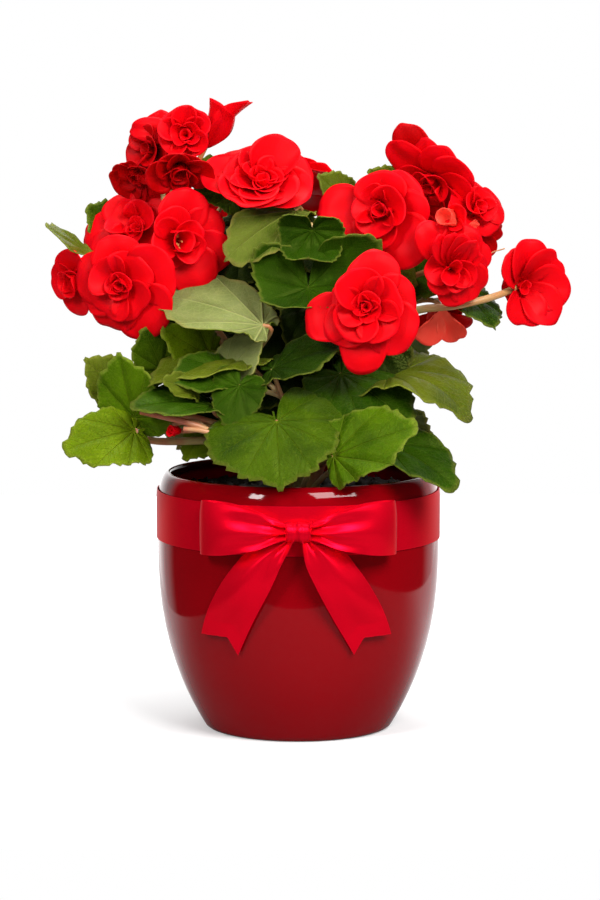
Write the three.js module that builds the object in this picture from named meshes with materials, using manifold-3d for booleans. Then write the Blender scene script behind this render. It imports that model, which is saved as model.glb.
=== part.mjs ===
// A potted double begonia: a round glazed pot full of soil, branching stems that stand in it,
// toothed heart-shaped leaves, double red blooms, and a satin ribbon with a bow round the pot.
// Millimetres, +Z up, the front faces -Y, and the origin is the centre of the pot's foot.
import * as THREE from "three";
import { mergeVertices } from "three/addons/utils/BufferGeometryUtils.js";
import Module from "manifold-3d";

const wasm = await Module();
wasm.setup();

// Clearances and thicknesses
const gap = 0.3;
const endGap = 0.45;
const petalThickness = 0.8;
const leafThickness = 0.8;
const ribbonThickness = 0.8;
const sliver = 0.05;

// Pot: the belly is the widest ring, and below it the wall curves in to the foot
const potSides = 40;
const potHeight = 134.6;
const bellyRadius = 73.5;
const bellyLow = 98;
const bellyHigh = 118;
const footRadius = 48.2;
const footEdge = 1.4;
const bellyCurve = 2.45;
const crestRadius = 70.2;
const wall = 5;
const floorThickness = 7;

// Soil
const soilLevel = 124;
const soilSides = 20;
const soilRings = [0.3, 0.62, 0.86];
const soilBump = 1.8;
const holeSides = 12;
const crownRadius = 12;
const crownBottom = 102;
const crownTop = 126;

// Ribbon
const ribbonWidth = 25.4;
const ribbonMiddle = 113;
const bandSkin = 0.35;

const { sin, cos, abs, sqrt, exp, floor, PI, min, max } = Math;
const degree = PI / 180;
const goldenAngle = 137.5 * degree;
const up = new THREE.Vector3(0, 0, 1);

const finish = {
  glaze: { color: 0x7a0f16, roughness: 0.12, metalness: 0 },
  soil: { color: 0x2a1d15, roughness: 0.95, metalness: 0 },
  satin: { color: 0xc8102e, roughness: 0.42, metalness: 0 },
  stem: { color: 0x9a6a3c, roughness: 0.55, metalness: 0 },
  leaf: { color: 0x3f7a2c, roughness: 0.45, metalness: 0 },
  petal: { color: 0xe1061a, roughness: 0.55, metalness: 0 },
};

const vec = (xyz) => new THREE.Vector3(...xyz);
const mix = (a, b, t) => a + (b - a) * t;
const clamp = (t) => min(max(t, 0), 1);
const smooth = (t) => clamp(t) ** 2 * (3 - 2 * clamp(t));

// A repeatable value from 0 to 1 for item k of a piece with this seed
function chance(k, seed) {
  const wide = sin(k * 12.9898 + seed * 78.233) * 43758.5453;
  return wide - floor(wide);
}

// Solids

function solidOf(geometry) {
  const bare = geometry.clone();
  bare.deleteAttribute("normal");
  bare.deleteAttribute("uv");
  const merged = mergeVertices(bare, 1e-4);
  return new wasm.Manifold(
    new wasm.Mesh({
      numProp: 3,
      vertProperties: new Float32Array(merged.attributes.position.array),
      triVerts: new Uint32Array(merged.index.array),
    }),
  );
}

function geometryOf(points, triangles) {
  const geometry = new THREE.BufferGeometry().setFromPoints(points);
  geometry.setIndex(triangles.flat());
  return geometry;
}

function meshOf(name, solid, surface) {
  const { numProp, numVert, vertProperties, triVerts } = solid.getMesh();
  const positions = new Float32Array(numVert * 3);
  for (let i = 0; i < numVert; i++) {
    positions.set(vertProperties.subarray(i * numProp, i * numProp + 3), i * 3);
  }
  const geometry = new THREE.BufferGeometry();
  geometry.setAttribute("position", new THREE.BufferAttribute(positions, 3));
  geometry.setIndex(new THREE.BufferAttribute(triVerts, 1));
  geometry.computeVertexNormals();
  const mesh = new THREE.Mesh(geometry, new THREE.MeshStandardMaterial(surface));
  mesh.name = name;
  return mesh;
}

function joined(solids) {
  return wasm.Manifold.union(solids);
}

function largestBody(solid) {
  return solid.decompose().reduce((a, b) => (a.volume() > b.volume() ? a : b));
}

// A thin closed solid from an open sheet. Each point goes half the thickness to both sides along
// the sheet's normal, and a wall closes the edge. swell makes the whole thing larger all round.
function thickSheet(points, triangles, thickness, swell) {
  const count = points.length;
  const normals = points.map(() => new THREE.Vector3());
  const edges = new Map();
  for (const [a, b, c] of triangles) {
    const n = points[b].clone().sub(points[a]).cross(points[c].clone().sub(points[a]));
    [a, b, c].forEach((i) => normals[i].add(n));
    for (const [i, j] of [[a, b], [b, c], [c, a]]) {
      if (!edges.delete(`${j} ${i}`)) {
        edges.set(`${i} ${j}`, [i, j]);
      }
    }
  }
  normals.forEach((n) => n.normalize());
  const outward = points.map(() => new THREE.Vector3());
  for (const [i, j] of edges.values()) {
    const along = points[j].clone().sub(points[i]);
    const away = along.cross(normals[i].clone().add(normals[j])).normalize();
    outward[i].add(away);
    outward[j].add(away);
  }
  const side = (s) =>
    points.map((p, i) =>
      p
        .clone()
        .addScaledVector(normals[i], s * (thickness / 2 + swell))
        .addScaledVector(outward[i].normalize(), swell),
    );
  const faces = [];
  for (const [a, b, c] of triangles) {
    faces.push([a, b, c], [a + count, c + count, b + count]);
  }
  for (const [i, j] of edges.values()) {
    faces.push([j, i, i + count], [j, i + count, j + count]);
  }
  return solidOf(geometryOf([...side(1), ...side(-1)], faces));
}

// Triangles of a grid of points given row by row, facing along row direction x column direction
function gridTriangles(rows, columns) {
  const triangles = [];
  for (let j = 0; j < rows - 1; j++) {
    for (let i = 0; i < columns - 1; i++) {
      const a = j * columns + i;
      const b = a + columns;
      triangles.push([a, a + 1, b + 1], [a, b + 1, b]);
    }
  }
  return triangles;
}

// A round stem along a curve, with its radius given from start to end
function tube(curve, startRadius, endRadius, sides, steps, swell) {
  const frames = curve.computeFrenetFrames(steps, false);
  const points = [];
  for (let j = 0; j <= steps; j++) {
    const centre = curve.getPointAt(j / steps);
    const radius = mix(startRadius, endRadius, j / steps) + swell / cos(PI / sides);
    if (j === 0) {
      centre.addScaledVector(frames.tangents[0], -swell);
    }
    if (j === steps) {
      centre.addScaledVector(frames.tangents[steps], swell);
    }
    for (let i = 0; i < sides; i++) {
      const turn = (i / sides) * 2 * PI;
      points.push(
        centre
          .clone()
          .addScaledVector(frames.normals[j], radius * cos(turn))
          .addScaledVector(frames.binormals[j], radius * sin(turn)),
      );
    }
  }
  const faces = [];
  for (let j = 0; j < steps; j++) {
    for (let i = 0; i < sides; i++) {
      const a = j * sides + i;
      const b = j * sides + ((i + 1) % sides);
      faces.push([a, b, b + sides], [a, b + sides, a + sides]);
    }
  }
  const last = steps * sides;
  for (let i = 1; i < sides - 1; i++) {
    faces.push([0, i + 1, i], [last, last + i, last + i + 1]);
  }
  return solidOf(geometryOf(points, faces));
}

// Axes of a piece: z along its axis, x level, y upwards
function axesAlong(axis) {
  const z = axis.clone().normalize();
  const guide = abs(z.z) > 0.95 ? new THREE.Vector3(0, 1, 0) : up;
  const x = guide.clone().cross(z).normalize();
  const y = z.clone().cross(x);
  return { x, y, z };
}

function placed(local, origin, { x, y, z }) {
  return local.map(([a, b, c]) =>
    origin.clone().addScaledVector(x, a).addScaledVector(y, b).addScaledVector(z, c),
  );
}

// Pot

function potRadius(z) {
  if (z < bellyLow) {
    return bellyRadius - (bellyRadius - footRadius) * (1 - z / bellyLow) ** bellyCurve;
  }
  const rise = clamp((z - bellyHigh) / (potHeight - bellyHigh));
  return crestRadius + (bellyRadius - crestRadius) * sqrt(1 - rise * rise);
}

function makePot() {
  const outside = [0.03, 0.11, 0.21, 0.34, 0.5, bellyLow / potHeight, bellyHigh / potHeight, 0.955]
    .map((t) => t * potHeight)
    .map((z) => [potRadius(z), z]);
  const inside = [124, 98, 45].map((z) => [potRadius(z) - wall, z]);
  const profile = [
    [0, 0],
    [footRadius - footEdge, 0],
    ...outside,
    [crestRadius, potHeight],
    [crestRadius - 1.5, potHeight - 1.3],
    ...inside,
    [potRadius(floorThickness) - 2 * wall, floorThickness],
    [0, floorThickness],
  ];
  return lathed(profile, potSides);
}

function lathed(profile, sides) {
  const outline = profile.map(([r, z]) => new THREE.Vector2(r, z));
  return solidOf(new THREE.LatheGeometry(outline, sides).rotateX(PI / 2));
}

function makeSoil() {
  const radiusIn = (z) => potRadius(z) - wall - gap;
  const points = [];
  const faces = [];
  const addRing = (radius, heightAt) => {
    for (let i = 0; i < soilSides; i++) {
      const turn = (i / soilSides) * 2 * PI;
      points.push(vec([radius * cos(turn), radius * sin(turn), heightAt(i)]));
    }
  };
  const bottom = floorThickness + gap;
  addRing(potRadius(bottom) - 2 * wall - gap, () => bottom);
  for (const z of [45, 98]) {
    addRing(radiusIn(z), () => z);
  }
  addRing(radiusIn(soilLevel - 3), () => soilLevel - 3);
  [...soilRings].reverse().forEach((share, k) => {
    const ring = radiusIn(soilLevel) * share;
    addRing(ring, (i) => soilLevel + soilBump * (2 * chance(i, k + 5) - 1));
  });
  const rings = points.length / soilSides;
  for (let j = 0; j < rings - 1; j++) {
    for (let i = 0; i < soilSides; i++) {
      const a = j * soilSides + i;
      const b = j * soilSides + ((i + 1) % soilSides);
      faces.push([a, b, b + soilSides], [a, b + soilSides, a + soilSides]);
    }
  }
  const low = points.push(vec([0, 0, bottom])) - 1;
  const high = points.push(vec([0, 0, soilLevel])) - 1;
  const lastRing = (rings - 1) * soilSides;
  for (let i = 0; i < soilSides; i++) {
    const next = (i + 1) % soilSides;
    faces.push([low, next, i], [high, lastRing + i, lastRing + next]);
  }
  const holeRadius = (crownRadius + gap) / cos(PI / holeSides);
  const holeHeight = 2 * (soilLevel - crownBottom + gap);
  const hole = new THREE.CylinderGeometry(holeRadius, holeRadius, holeHeight, holeSides);
  hole.rotateX(PI / 2).translate(0, 0, soilLevel);
  return solidOf(geometryOf(points, faces)).subtract(solidOf(hole));
}

// Ribbon: places are given as an angle round the pot from the front, a height, and a stand-off
// from the band's outer face

const bandInner = bellyRadius + bandSkin;
const bandOuter = bandInner + ribbonThickness;

function onPot([angle, height, standOff]) {
  const radius = min(bandOuter, potRadius(height) + ribbonThickness + bandSkin) + standOff;
  return vec([radius * sin(angle * degree), -radius * cos(angle * degree), height]);
}

function makeBand() {
  const low = ribbonMiddle - ribbonWidth / 2;
  const high = ribbonMiddle + ribbonWidth / 2;
  return lathed(
    [
      [bandInner, low],
      [bandOuter, low],
      [bandOuter, high],
      [bandInner, high],
      [bandInner, low],
    ],
    potSides,
  );
}

// A strip of ribbon: stations along it, each with its place and its half width up and down
function makeStrip(stations, flip) {
  const points = stations.flatMap(({ at: [angle, height, standOff], up: high, down: low, crease = 0 }) => [
    onPot([angle * flip, height - low, standOff]),
    onPot([angle * flip, height, standOff + crease]),
    onPot([angle * flip, height + high, standOff]),
  ]);
  const triangles = gridTriangles(stations.length, 3);
  const faced = flip > 0 ? triangles : triangles.map(([a, b, c]) => [a, c, b]);
  return thickSheet(points, faced, ribbonThickness, 0);
}

const loopStations = [
  { at: [5.2, 113.4, 1.9], up: 3.6, down: 3.6 },
  { at: [12, 113.6, 1.5], up: 7.6, down: 7 },
  { at: [24, 114, 1.3], up: 12.2, down: 12 },
  { at: [36, 114, 1.4], up: 13.2, down: 13.4 },
  { at: [40.2, 114, 3.6], up: 13.4, down: 13.8 },
  { at: [38.4, 114, 6.6], up: 13.6, down: 13.8 },
  { at: [30, 114.2, 10.4], up: 13.6, down: 13.6, crease: 0.8 },
  { at: [20, 114.2, 12], up: 11.4, down: 11.2, crease: -1 },
  { at: [12, 114, 10.6], up: 8.2, down: 7.8, crease: 1.2 },
  { at: [5.2, 113.6, 7], up: 4.4, down: 4.2, crease: -0.8 },
];

// A tail of the bow: each station has its left edge, middle and right edge on the pot
function makeTail(rows) {
  const points = rows.flat().map(onPot);
  return thickSheet(points, gridTriangles(rows.length, 3), ribbonThickness, 0);
}

const tailLeft = [
  [[-41.5, 58, 1.2], [-31, 59, 2.2], [-25.5, 48, 2.6]],
  [[-34.5, 76, 2.6], [-26.5, 72.5, 5], [-17.5, 66.5, 3.4]],
  [[-26.5, 92, 4.2], [-19, 89.5, 7.6], [-9.5, 85, 4.8]],
  [[-18, 104.5, 4.6], [-12.6, 103, 7.6], [-5.2, 99.5, 6]],
  [[-7.4, 107.6, 5.4], [-4.6, 108.8, 6.4], [-1.6, 110, 5.8]],
];
const tailRight = [
  [[23.5, 48.5, 2.6], [29.5, 59, 2.2], [39.5, 58, 1.2]],
  [[13.5, 68, 3.4], [22.5, 74.5, 5], [31.5, 77, 2.6]],
  [[6.2, 86, 4.8], [15, 91.5, 7.6], [23, 93.5, 4.2]],
  [[2.4, 99, 6], [9, 103, 7.6], [15.5, 105, 4.6]],
  [[1.6, 110, 5.8], [4.6, 108.8, 6.4], [7.4, 107.6, 5.4]],
];

function makeKnot(swell) {
  const knot = new THREE.IcosahedronGeometry(1, 1);
  knot.scale(7.2 + swell, 4.4 + swell, 6 + swell).translate(0, -bandOuter - 4.9, 113.2);
  return solidOf(knot);
}

// Stems

const stemPaths = {
  left: [[-5, -2, 104], [-8, -3, 128], [-14, -6, 148], [-28, -9, 185], [-52, -8, 224], [-66, -4, 256]],
  centre: [[-2, 2, 104], [-5, 2, 160], [-9, 1, 212], [-22, 2, 262]],
  right: [[5, -2, 104], [8, -2, 128], [15, -3, 148], [28, -5, 190], [44, -4, 226], [58, 0, 256]],
  back: [[1, 5, 104], [2, 8, 128], [5, 20, 160], [4, 34, 208], [2, 42, 250]],
  front: [[0, -5, 104], [0, -8, 127], [-1, -17, 141], [-4, -26, 158], [-8, -31, 178]],
};
const stemBase = 3.6;
const stemTip = 1.9;
const stalkBend = 48 * degree;
const stalkRadius = { leaf: [1.25, 0.95], bloom: [1.45, 1.15] };

const stemCurves = Object.fromEntries(
  Object.entries(stemPaths).map(([name, path]) => [name, new THREE.CatmullRomCurve3(path.map(vec))]),
);

// A stalk leaves its stem at a share of the stem's length and arrives along a given direction
function stalkCurve(stem, share, end, arrival) {
  const curve = stemCurves[stem];
  const start = curve.getPointAt(share);
  const reach = start.distanceTo(end);
  const leave = curve.getTangentAt(share).multiplyScalar(0.5);
  leave.add(end.clone().sub(start).normalize().multiplyScalar(0.7)).normalize();
  return new THREE.CubicBezierCurve3(
    start,
    start.clone().addScaledVector(leave, reach * 0.34),
    end.clone().addScaledVector(arrival, -reach * 0.34),
    end,
  );
}

// Leaves. Each has the point where its stalk joins, its tip, the way its upper face looks, its half
// width to the left and right of the midrib as shares of the length, and the stem that carries it.
// bend turns the tip down, cup raises the sides, both in degrees, and wave is the edge's ruffle.

const leaves = {
  leaf_front: { at: [-11, -58, 167], tip: [-9, -82, 133], faces: [0, -0.9, 0.42], left: 0.86,
    right: 0.86, bend: 30, cup: -20, wave: 0.03, stem: "front", share: 0.8 },
  leaf_front_right: { at: [20, -65, 151], tip: [60, -77, 169], faces: [0.1, -0.8, 0.6], left: 0.42,
    right: 0.44, bend: 15, cup: -12, wave: 0.05, stem: "right", share: 0.2 },
  leaf_right_low: { at: [45, -42, 151], tip: [79, -60, 134], faces: [0.35, -0.6, 0.7], left: 0.36,
    right: 0.34, bend: 40, cup: 20, wave: 0.06, stem: "right", share: 0.3 },
  leaf_right_arch: { at: [43, -26, 185], tip: [84, -46, 169], faces: [0.35, -0.45, 0.82], left: 0.55,
    right: 0.5, bend: 80, cup: 15, wave: 0.05, stem: "right", share: 0.5 },
  leaf_fan: { at: [4, -34, 236], tip: [1, -60, 230], faces: [0, -0.45, 0.9], left: 1.05,
    right: 0.85, bend: 15, cup: 50, wave: 0.05, stem: "centre", share: 0.62 },
  leaf_cupped: { at: [14, -40, 263], tip: [8, -56, 251], faces: [0, -0.6, 0.8], left: 0.85,
    right: 0.85, bend: -10, cup: 50, wave: 0.05, stem: "centre", share: 0.8 },
  leaf_pale_top: { at: [0, -20, 269], tip: [-35, -36, 247], faces: [0.2, 0.6, -0.75], left: 0.42,
    right: 0.36, bend: -30, cup: -20, wave: 0.05, stem: "centre", share: 0.75 },
  leaf_pale_left: { at: [-18, -34, 205], tip: [-63, -48, 231], faces: [0.25, 0.6, -0.75], left: 0.22,
    right: 0.24, bend: -20, cup: -15, wave: 0.04, stem: "left", share: 0.5 },
  leaf_pale_edge: { at: [-26, -24, 196], tip: [-71, -46, 185], faces: [-0.1, -0.25, 0.96], left: 0.32,
    right: 0.24, bend: 30, cup: 25, wave: 0.04, stem: "front", share: 0.95 },
  leaf_round_left: { at: [-38, -38, 179], tip: [-18, -46, 183], faces: [0.1, -0.95, 0.3], left: 0.6,
    right: 0.6, bend: 15, cup: 10, wave: 0.04, stem: "left", share: 0.35 },
  leaf_long_left: { at: [-50, -46, 172], tip: [-84, -60, 175], faces: [-0.1, -0.35, 0.93], left: 0.4,
    right: 0.42, bend: 25, cup: 10, wave: 0.04, stem: "left", share: 0.38 },
  leaf_low_left: { at: [-88, -40, 156], tip: [-123, -50, 158], faces: [-0.25, -0.8, 0.5], left: 0.48,
    right: 0.5, bend: 25, cup: -12, wave: 0.05, stem: "left", share: 0.25 },
  leaf_upper_left: { at: [-81, -26, 177], tip: [-96, -38, 199], faces: [-0.3, -0.85, 0.35], left: 0.5,
    right: 0.55, bend: 15, cup: 10, wave: 0.04, stem: "left", share: 0.45 },
  leaf_under_bloom: { at: [-70, -18, 189], tip: [-78, -28, 209], faces: [-0.1, -0.85, 0.5], left: 0.6,
    right: 0.6, bend: 15, cup: 10, wave: 0.04, stem: "left", share: 0.6 },
  leaf_dark_centre: { at: [8, -14, 223], tip: [6, -26, 196], faces: [0, -0.85, 0.5], left: 0.6,
    right: 0.6, bend: 20, cup: -10, wave: 0.04, stem: "centre", share: 0.6 },
  leaf_two_tone: { at: [-13, -44, 189], tip: [16, -54, 204], faces: [0.1, -0.8, 0.55], left: 0.28,
    right: 0.4, bend: 20, cup: 10, wave: 0.05, stem: "front", share: 0.9 },
  leaf_far_left: { at: [-106, 2, 247], tip: [-127, -14, 262], faces: [-0.3, -0.5, 0.8], left: 0.3,
    right: 0.35, bend: -20, cup: 10, wave: 0.04, stem: "left", share: 0.8 },
  leaf_top_left: { at: [-96, 33, 252], tip: [-110, 22, 270], faces: [-0.4, -0.5, 0.7], left: 0.7,
    right: 0.7, bend: 30, cup: 10, wave: 0.04, stem: "left", share: 0.85 },
  leaf_back_top: { at: [25, 20, 272], tip: [11, 8, 290], faces: [0.1, -0.7, 0.6], left: 0.55,
    right: 0.8, bend: 30, cup: 10, wave: 0.04, stem: "centre", share: 0.9 },
  leaf_olive: { at: [30, -16, 256], tip: [58, -20, 235], faces: [0.3, -0.7, 0.65], left: 0.4,
    right: 0.4, bend: 20, cup: -15, wave: 0.04, stem: "right", share: 0.7 },
  leaf_right_dark: { at: [85, -8, 229], tip: [99, -24, 213], faces: [0.5, -0.6, 0.6], left: 0.6,
    right: 0.6, bend: 20, cup: 10, wave: 0.04, stem: "right", share: 0.75 },
  leaf_side_left: { at: [-64, 24, 186], tip: [-96, 32, 172], faces: [-0.5, -0.1, 0.85], left: 0.65,
    right: 0.65, bend: 35, cup: 10, wave: 0.05, stem: "left", share: 0.42 },
  leaf_side_right: { at: [58, 18, 190], tip: [88, 30, 172], faces: [0.5, 0, 0.85], left: 0.65,
    right: 0.65, bend: 35, cup: 10, wave: 0.05, stem: "right", share: 0.42 },
  leaf_rear: { at: [2, 58, 186], tip: [4, 86, 156], faces: [0.05, 0.8, 0.6], left: 0.75,
    right: 0.75, bend: 30, cup: -10, wave: 0.05, stem: "back", share: 0.5 },
  leaf_rear_left: { at: [-36, 52, 204], tip: [-66, 72, 188], faces: [-0.4, 0.6, 0.7], left: 0.7,
    right: 0.7, bend: 35, cup: 10, wave: 0.05, stem: "back", share: 0.6 },
  leaf_rear_right: { at: [38, 50, 202], tip: [66, 70, 186], faces: [0.45, 0.55, 0.7], left: 0.7,
    right: 0.7, bend: 35, cup: 10, wave: 0.05, stem: "back", share: 0.55 },
  leaf_rear_low_left: { at: [-42, 44, 160], tip: [-64, 66, 142], faces: [-0.5, 0.5, 0.7], left: 0.75,
    right: 0.75, bend: 30, cup: 10, wave: 0.05, stem: "back", share: 0.3 },
  leaf_rear_low_right: { at: [42, 42, 160], tip: [66, 60, 142], faces: [0.5, 0.5, 0.7], left: 0.75,
    right: 0.75, bend: 30, cup: 10, wave: 0.05, stem: "back", share: 0.27 },
};

const leafTeeth = 12;
const toothDepth = 0.06;
const innerRing = 0.52;
const sinusAngle = 168 * degree;

// Distance from the stalk's joint to the leaf's edge, as a share of its length, at an angle from
// the tip. The lobes beside the stalk are shorter, and the sinus between them is narrow.
function leafReach(angle, leaf) {
  const turn = abs(angle) / PI;
  const side = angle < 0 ? leaf.left : leaf.right;
  const body = mix(1, side, smooth(turn / 0.42));
  const lobe = 1 - 0.42 * smooth((turn - 0.62) / 0.3) - 0.42 * smooth((turn - 0.9) / 0.08);
  return body * lobe + 0.08 * exp(-((turn / 0.06) ** 2));
}

// Leaf blade: flat shape first, then rolled along and across, then ruffled
function leafPoint(angle, share, reach, leaf, length) {
  const x = length * reach * share * sin(angle);
  const y = length * reach * share * cos(angle);
  const along = (leaf.bend * degree) / length;
  const across = (leaf.cup * degree) / length;
  const roll = (s, k) => (abs(k) < 1e-6 ? [s, 0] : [sin(k * s) / k, (1 - cos(k * s)) / k]);
  const [rolledY, drop] = roll(y, along);
  const [rolledX, rise] = roll(x, across);
  const ruffle = leaf.wave * length * share ** 2 * sin(3 * angle + length);
  return [rolledX, rolledY, rise - drop + ruffle];
}

function leafFrame(leaf) {
  const at = vec(leaf.at);
  const chord = vec(leaf.tip).sub(at);
  const half = (leaf.bend * degree) / 2;
  const length = (chord.length() * half) / sin(half) || chord.length();
  const ahead = chord.normalize();
  const face = vec(leaf.faces);
  face.addScaledVector(ahead, -face.dot(ahead)).normalize();
  const y = ahead.clone().multiplyScalar(cos(half)).addScaledVector(face, sin(half));
  const z = face.clone().multiplyScalar(cos(half)).addScaledVector(ahead, -sin(half));
  const x = y.clone().cross(z);
  return { at, length, axes: { x, y, z } };
}

function makeLeaf(leaf, swell) {
  const { at, length, axes } = leafFrame(leaf);
  const outlineCount = 2 * leafTeeth + 1;
  const ringCount = (outlineCount - 1) / 3 + 1;
  const local = [[0, 0, 0]];
  for (let i = 0; i < ringCount; i++) {
    const angle = mix(-sinusAngle, sinusAngle, i / (ringCount - 1));
    local.push(leafPoint(angle, innerRing, leafReach(angle, leaf), leaf, length));
  }
  for (let i = 0; i < outlineCount; i++) {
    const angle = mix(-sinusAngle, sinusAngle, i / (outlineCount - 1));
    const tooth = toothDepth * (i % 2 ? -1 : 1) * mix(0.6, 1.3, chance(i, length));
    local.push(leafPoint(angle, 1, leafReach(angle, leaf) * (1 + tooth), leaf, length));
  }
  const triangles = [];
  const edge = 1 + ringCount;
  for (let i = 0; i < ringCount - 1; i++) {
    const a = 1 + i;
    const o = edge + 3 * i;
    triangles.push([0, a + 1, a], [a, o + 1, o], [a, a + 1, o + 1], [a + 1, o + 2, o + 1]);
    triangles.push([a + 1, o + 3, o + 2]);
  }
  return thickSheet(placed(local, at, axes), triangles, leafThickness, swell);
}

// The stalk meets the blade from below, clear of it all round its end. A leaf that shows its
// underside hangs from a stalk in line with its midrib.
function leafStalk(leaf) {
  const { at, axes } = leafFrame(leaf);
  const slope = (leaf.faces[2] < 0 ? 60 : 27) * degree;
  const arrival = axes.z.clone().multiplyScalar(cos(slope)).addScaledVector(axes.y, sin(slope));
  const under = (leafThickness / 2 + endGap + stalkRadius.leaf[1] * sin(slope)) / max(cos(slope), 0.8);
  return stalkCurve(leaf.stem, leaf.share, at.clone().addScaledVector(arrival, -under), arrival);
}

// Blooms. Each has its visible centre, the way it faces, its radius, its petals, how far the
// outer petals open in degrees from the axis, its turn, and the stem that carries it.

const blooms = {
  bloom_crown: { at: [-20, -12, 291], faces: [0.1, -0.72, 0.7], radius: 28.5, layers: [5, 5, 4, 3],
    open: 82, turn: 20, stem: "centre", share: 0.97 },
  bloom_left: { at: [-91, -32, 232], faces: [-0.3, -0.93, -0.1], radius: 26.5, layers: [5, 5, 4, 3],
    open: 82, turn: 80, stem: "left", share: 0.8 },
  bloom_right_low: { at: [31, -66, 222], faces: [-0.05, -0.98, 0.15], radius: 28, layers: [5, 4, 4, 3],
    open: 80, turn: 200, stem: "right", share: 0.6 },
  bloom_right_mid: { at: [43, -32, 270], faces: [-0.35, -0.93, 0.1], radius: 25, layers: [5, 4, 3],
    open: 74, turn: 150, stem: "right", share: 0.9 },
  bloom_left_upper: { at: [-86, 4, 265], faces: [-0.35, -0.7, 0.5], radius: 22, layers: [5, 4, 3],
    open: 74, turn: 10, stem: "left", share: 0.92 },
  bloom_left_inner: { at: [-55, -22, 255], faces: [0.25, -0.95, 0], radius: 20, layers: [5, 3],
    open: 56, turn: 100, stem: "left", share: 0.86 },
  bloom_right_top: { at: [63, -6, 291], faces: [-0.35, -0.7, -0.6], radius: 23, layers: [5, 4, 3],
    open: 64, turn: 60, stem: "right", share: 0.97 },
  bloom_right_front: { at: [80, -40, 247], faces: [0.1, -0.95, -0.25], radius: 20, layers: [5, 3],
    open: 58, turn: 30, stem: "right", share: 0.8 },
  bloom_far_right: { at: [118, -12, 232], faces: [0.75, -0.65, 0], radius: 22, layers: [5, 3],
    open: 54, turn: 0, stem: "right", share: 0.62 },
  bloom_right_side: { at: [93, -12, 273], faces: [0.5, -0.7, 0.5], radius: 16, layers: [4, 3],
    open: 68, turn: 40, stem: "right", share: 0.9 },
  bloom_top_a: { at: [-57, -10, 309], faces: [-0.1, -0.95, 0.1], radius: 17, layers: [5, 3],
    open: 62, turn: 30, stem: "left", share: 0.98 },
  bloom_top_b: { at: [-38, 6, 315], faces: [0.45, -0.1, 0.85], radius: 14, layers: [4, 3],
    open: 42, turn: 0, stem: "left", share: 0.94 },
  bloom_top_c: { at: [-77, 0, 302], faces: [-0.6, -0.75, 0.1], radius: 14, layers: [4, 3],
    open: 66, turn: 70, stem: "left", share: 0.96 },
  bloom_top_d: { at: [-61, -14, 293], faces: [0.1, -0.8, -0.6], radius: 13, layers: [4, 3],
    open: 56, turn: 120, stem: "left", share: 0.98 },
  bloom_top_e: { at: [-85, 8, 287], faces: [-0.7, -0.4, -0.5], radius: 14, layers: [4],
    open: 60, turn: 90, stem: "left", share: 0.95 },
  bloom_far_left: { at: [-117, -6, 234], faces: [-0.9, -0.35, -0.2], radius: 16, layers: [5, 3],
    open: 58, turn: 50, stem: "left", share: 0.75 },
  bloom_bud: { at: [78, -30, 268], faces: [-0.4, -0.8, 0.4], radius: 8, layers: [3],
    open: 40, turn: 0, stem: "right", share: 0.93 },
  bloom_right_dark: { at: [99, 5, 254], faces: [0.6, -0.6, -0.5], radius: 13, layers: [4],
    open: 58, turn: 20, stem: "right", share: 0.85 },
  bloom_right_behind: { at: [71, 8, 219], faces: [0.2, 0.5, -0.7], radius: 18, layers: [5, 3],
    open: 62, turn: 15, stem: "right", share: 0.7 },
  bloom_right_inner: { at: [61, 17, 263], faces: [0, -0.9, 0.3], radius: 18, layers: [5, 3],
    open: 72, turn: 45, stem: "right", share: 0.95 },
  bloom_rear_left: { at: [-52, 50, 258], faces: [-0.35, 0.85, 0.4], radius: 25, layers: [5, 4, 3],
    open: 80, turn: 0, stem: "back", share: 0.85 },
  bloom_rear_right: { at: [52, 52, 262], faces: [0.4, 0.82, 0.4], radius: 26, layers: [5, 4, 3],
    open: 80, turn: 60, stem: "back", share: 0.9 },
  bloom_rear_top: { at: [0, 42, 284], faces: [0, 0.6, 0.8], radius: 24, layers: [5, 4, 3],
    open: 76, turn: 120, stem: "back", share: 0.98 },
  bloom_rear_low: { at: [4, 66, 232], faces: [-0.1, 0.97, 0.1], radius: 24, layers: [5, 4, 3],
    open: 76, turn: 180, stem: "back", share: 0.75 },
};

// Two small blooms lean into their neighbours, and each pair is one body
const leanedOn = { bloom_top_a: "bloom_top_d", bloom_top_c: "bloom_top_e" };

// Petals stand in layers round the axis, from the open outer one to the closed heart. In a layer
// they are broad lobes, parted from the tips down to the notches between them.
const heartShare = 0.45;
const petalEdge = [[-0.5, 0.72], [-0.38, 0.92], [-0.14, 1], [0.14, 1], [0.38, 0.92]];
const petalMiddle = 0.6;

function layerPlan(bloom, j) {
  const inner = bloom.layers.length > 1 ? j / (bloom.layers.length - 1) : 0;
  const lean = bloom.open * mix(1, 0.24, inner);
  const outerReach = reachOut(bloom.open * 0.72 * degree, (bloom.open * 1.2 + 5) * degree);
  return {
    petals: bloom.layers[j],
    turn: bloom.turn * degree + j * goldenAngle,
    length: (bloom.radius / outerReach) * mix(1, 0.6, inner),
    from: lean * 0.72,
    to: lean * 1.2 + 5,
    hub: bloom.radius * 0.02 * j,
  };
}

// How far from the axis a petal of unit length reaches when its lean goes from one angle to another
function reachOut(from, to) {
  return (cos(from) - cos(to)) / (to - from);
}

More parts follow.
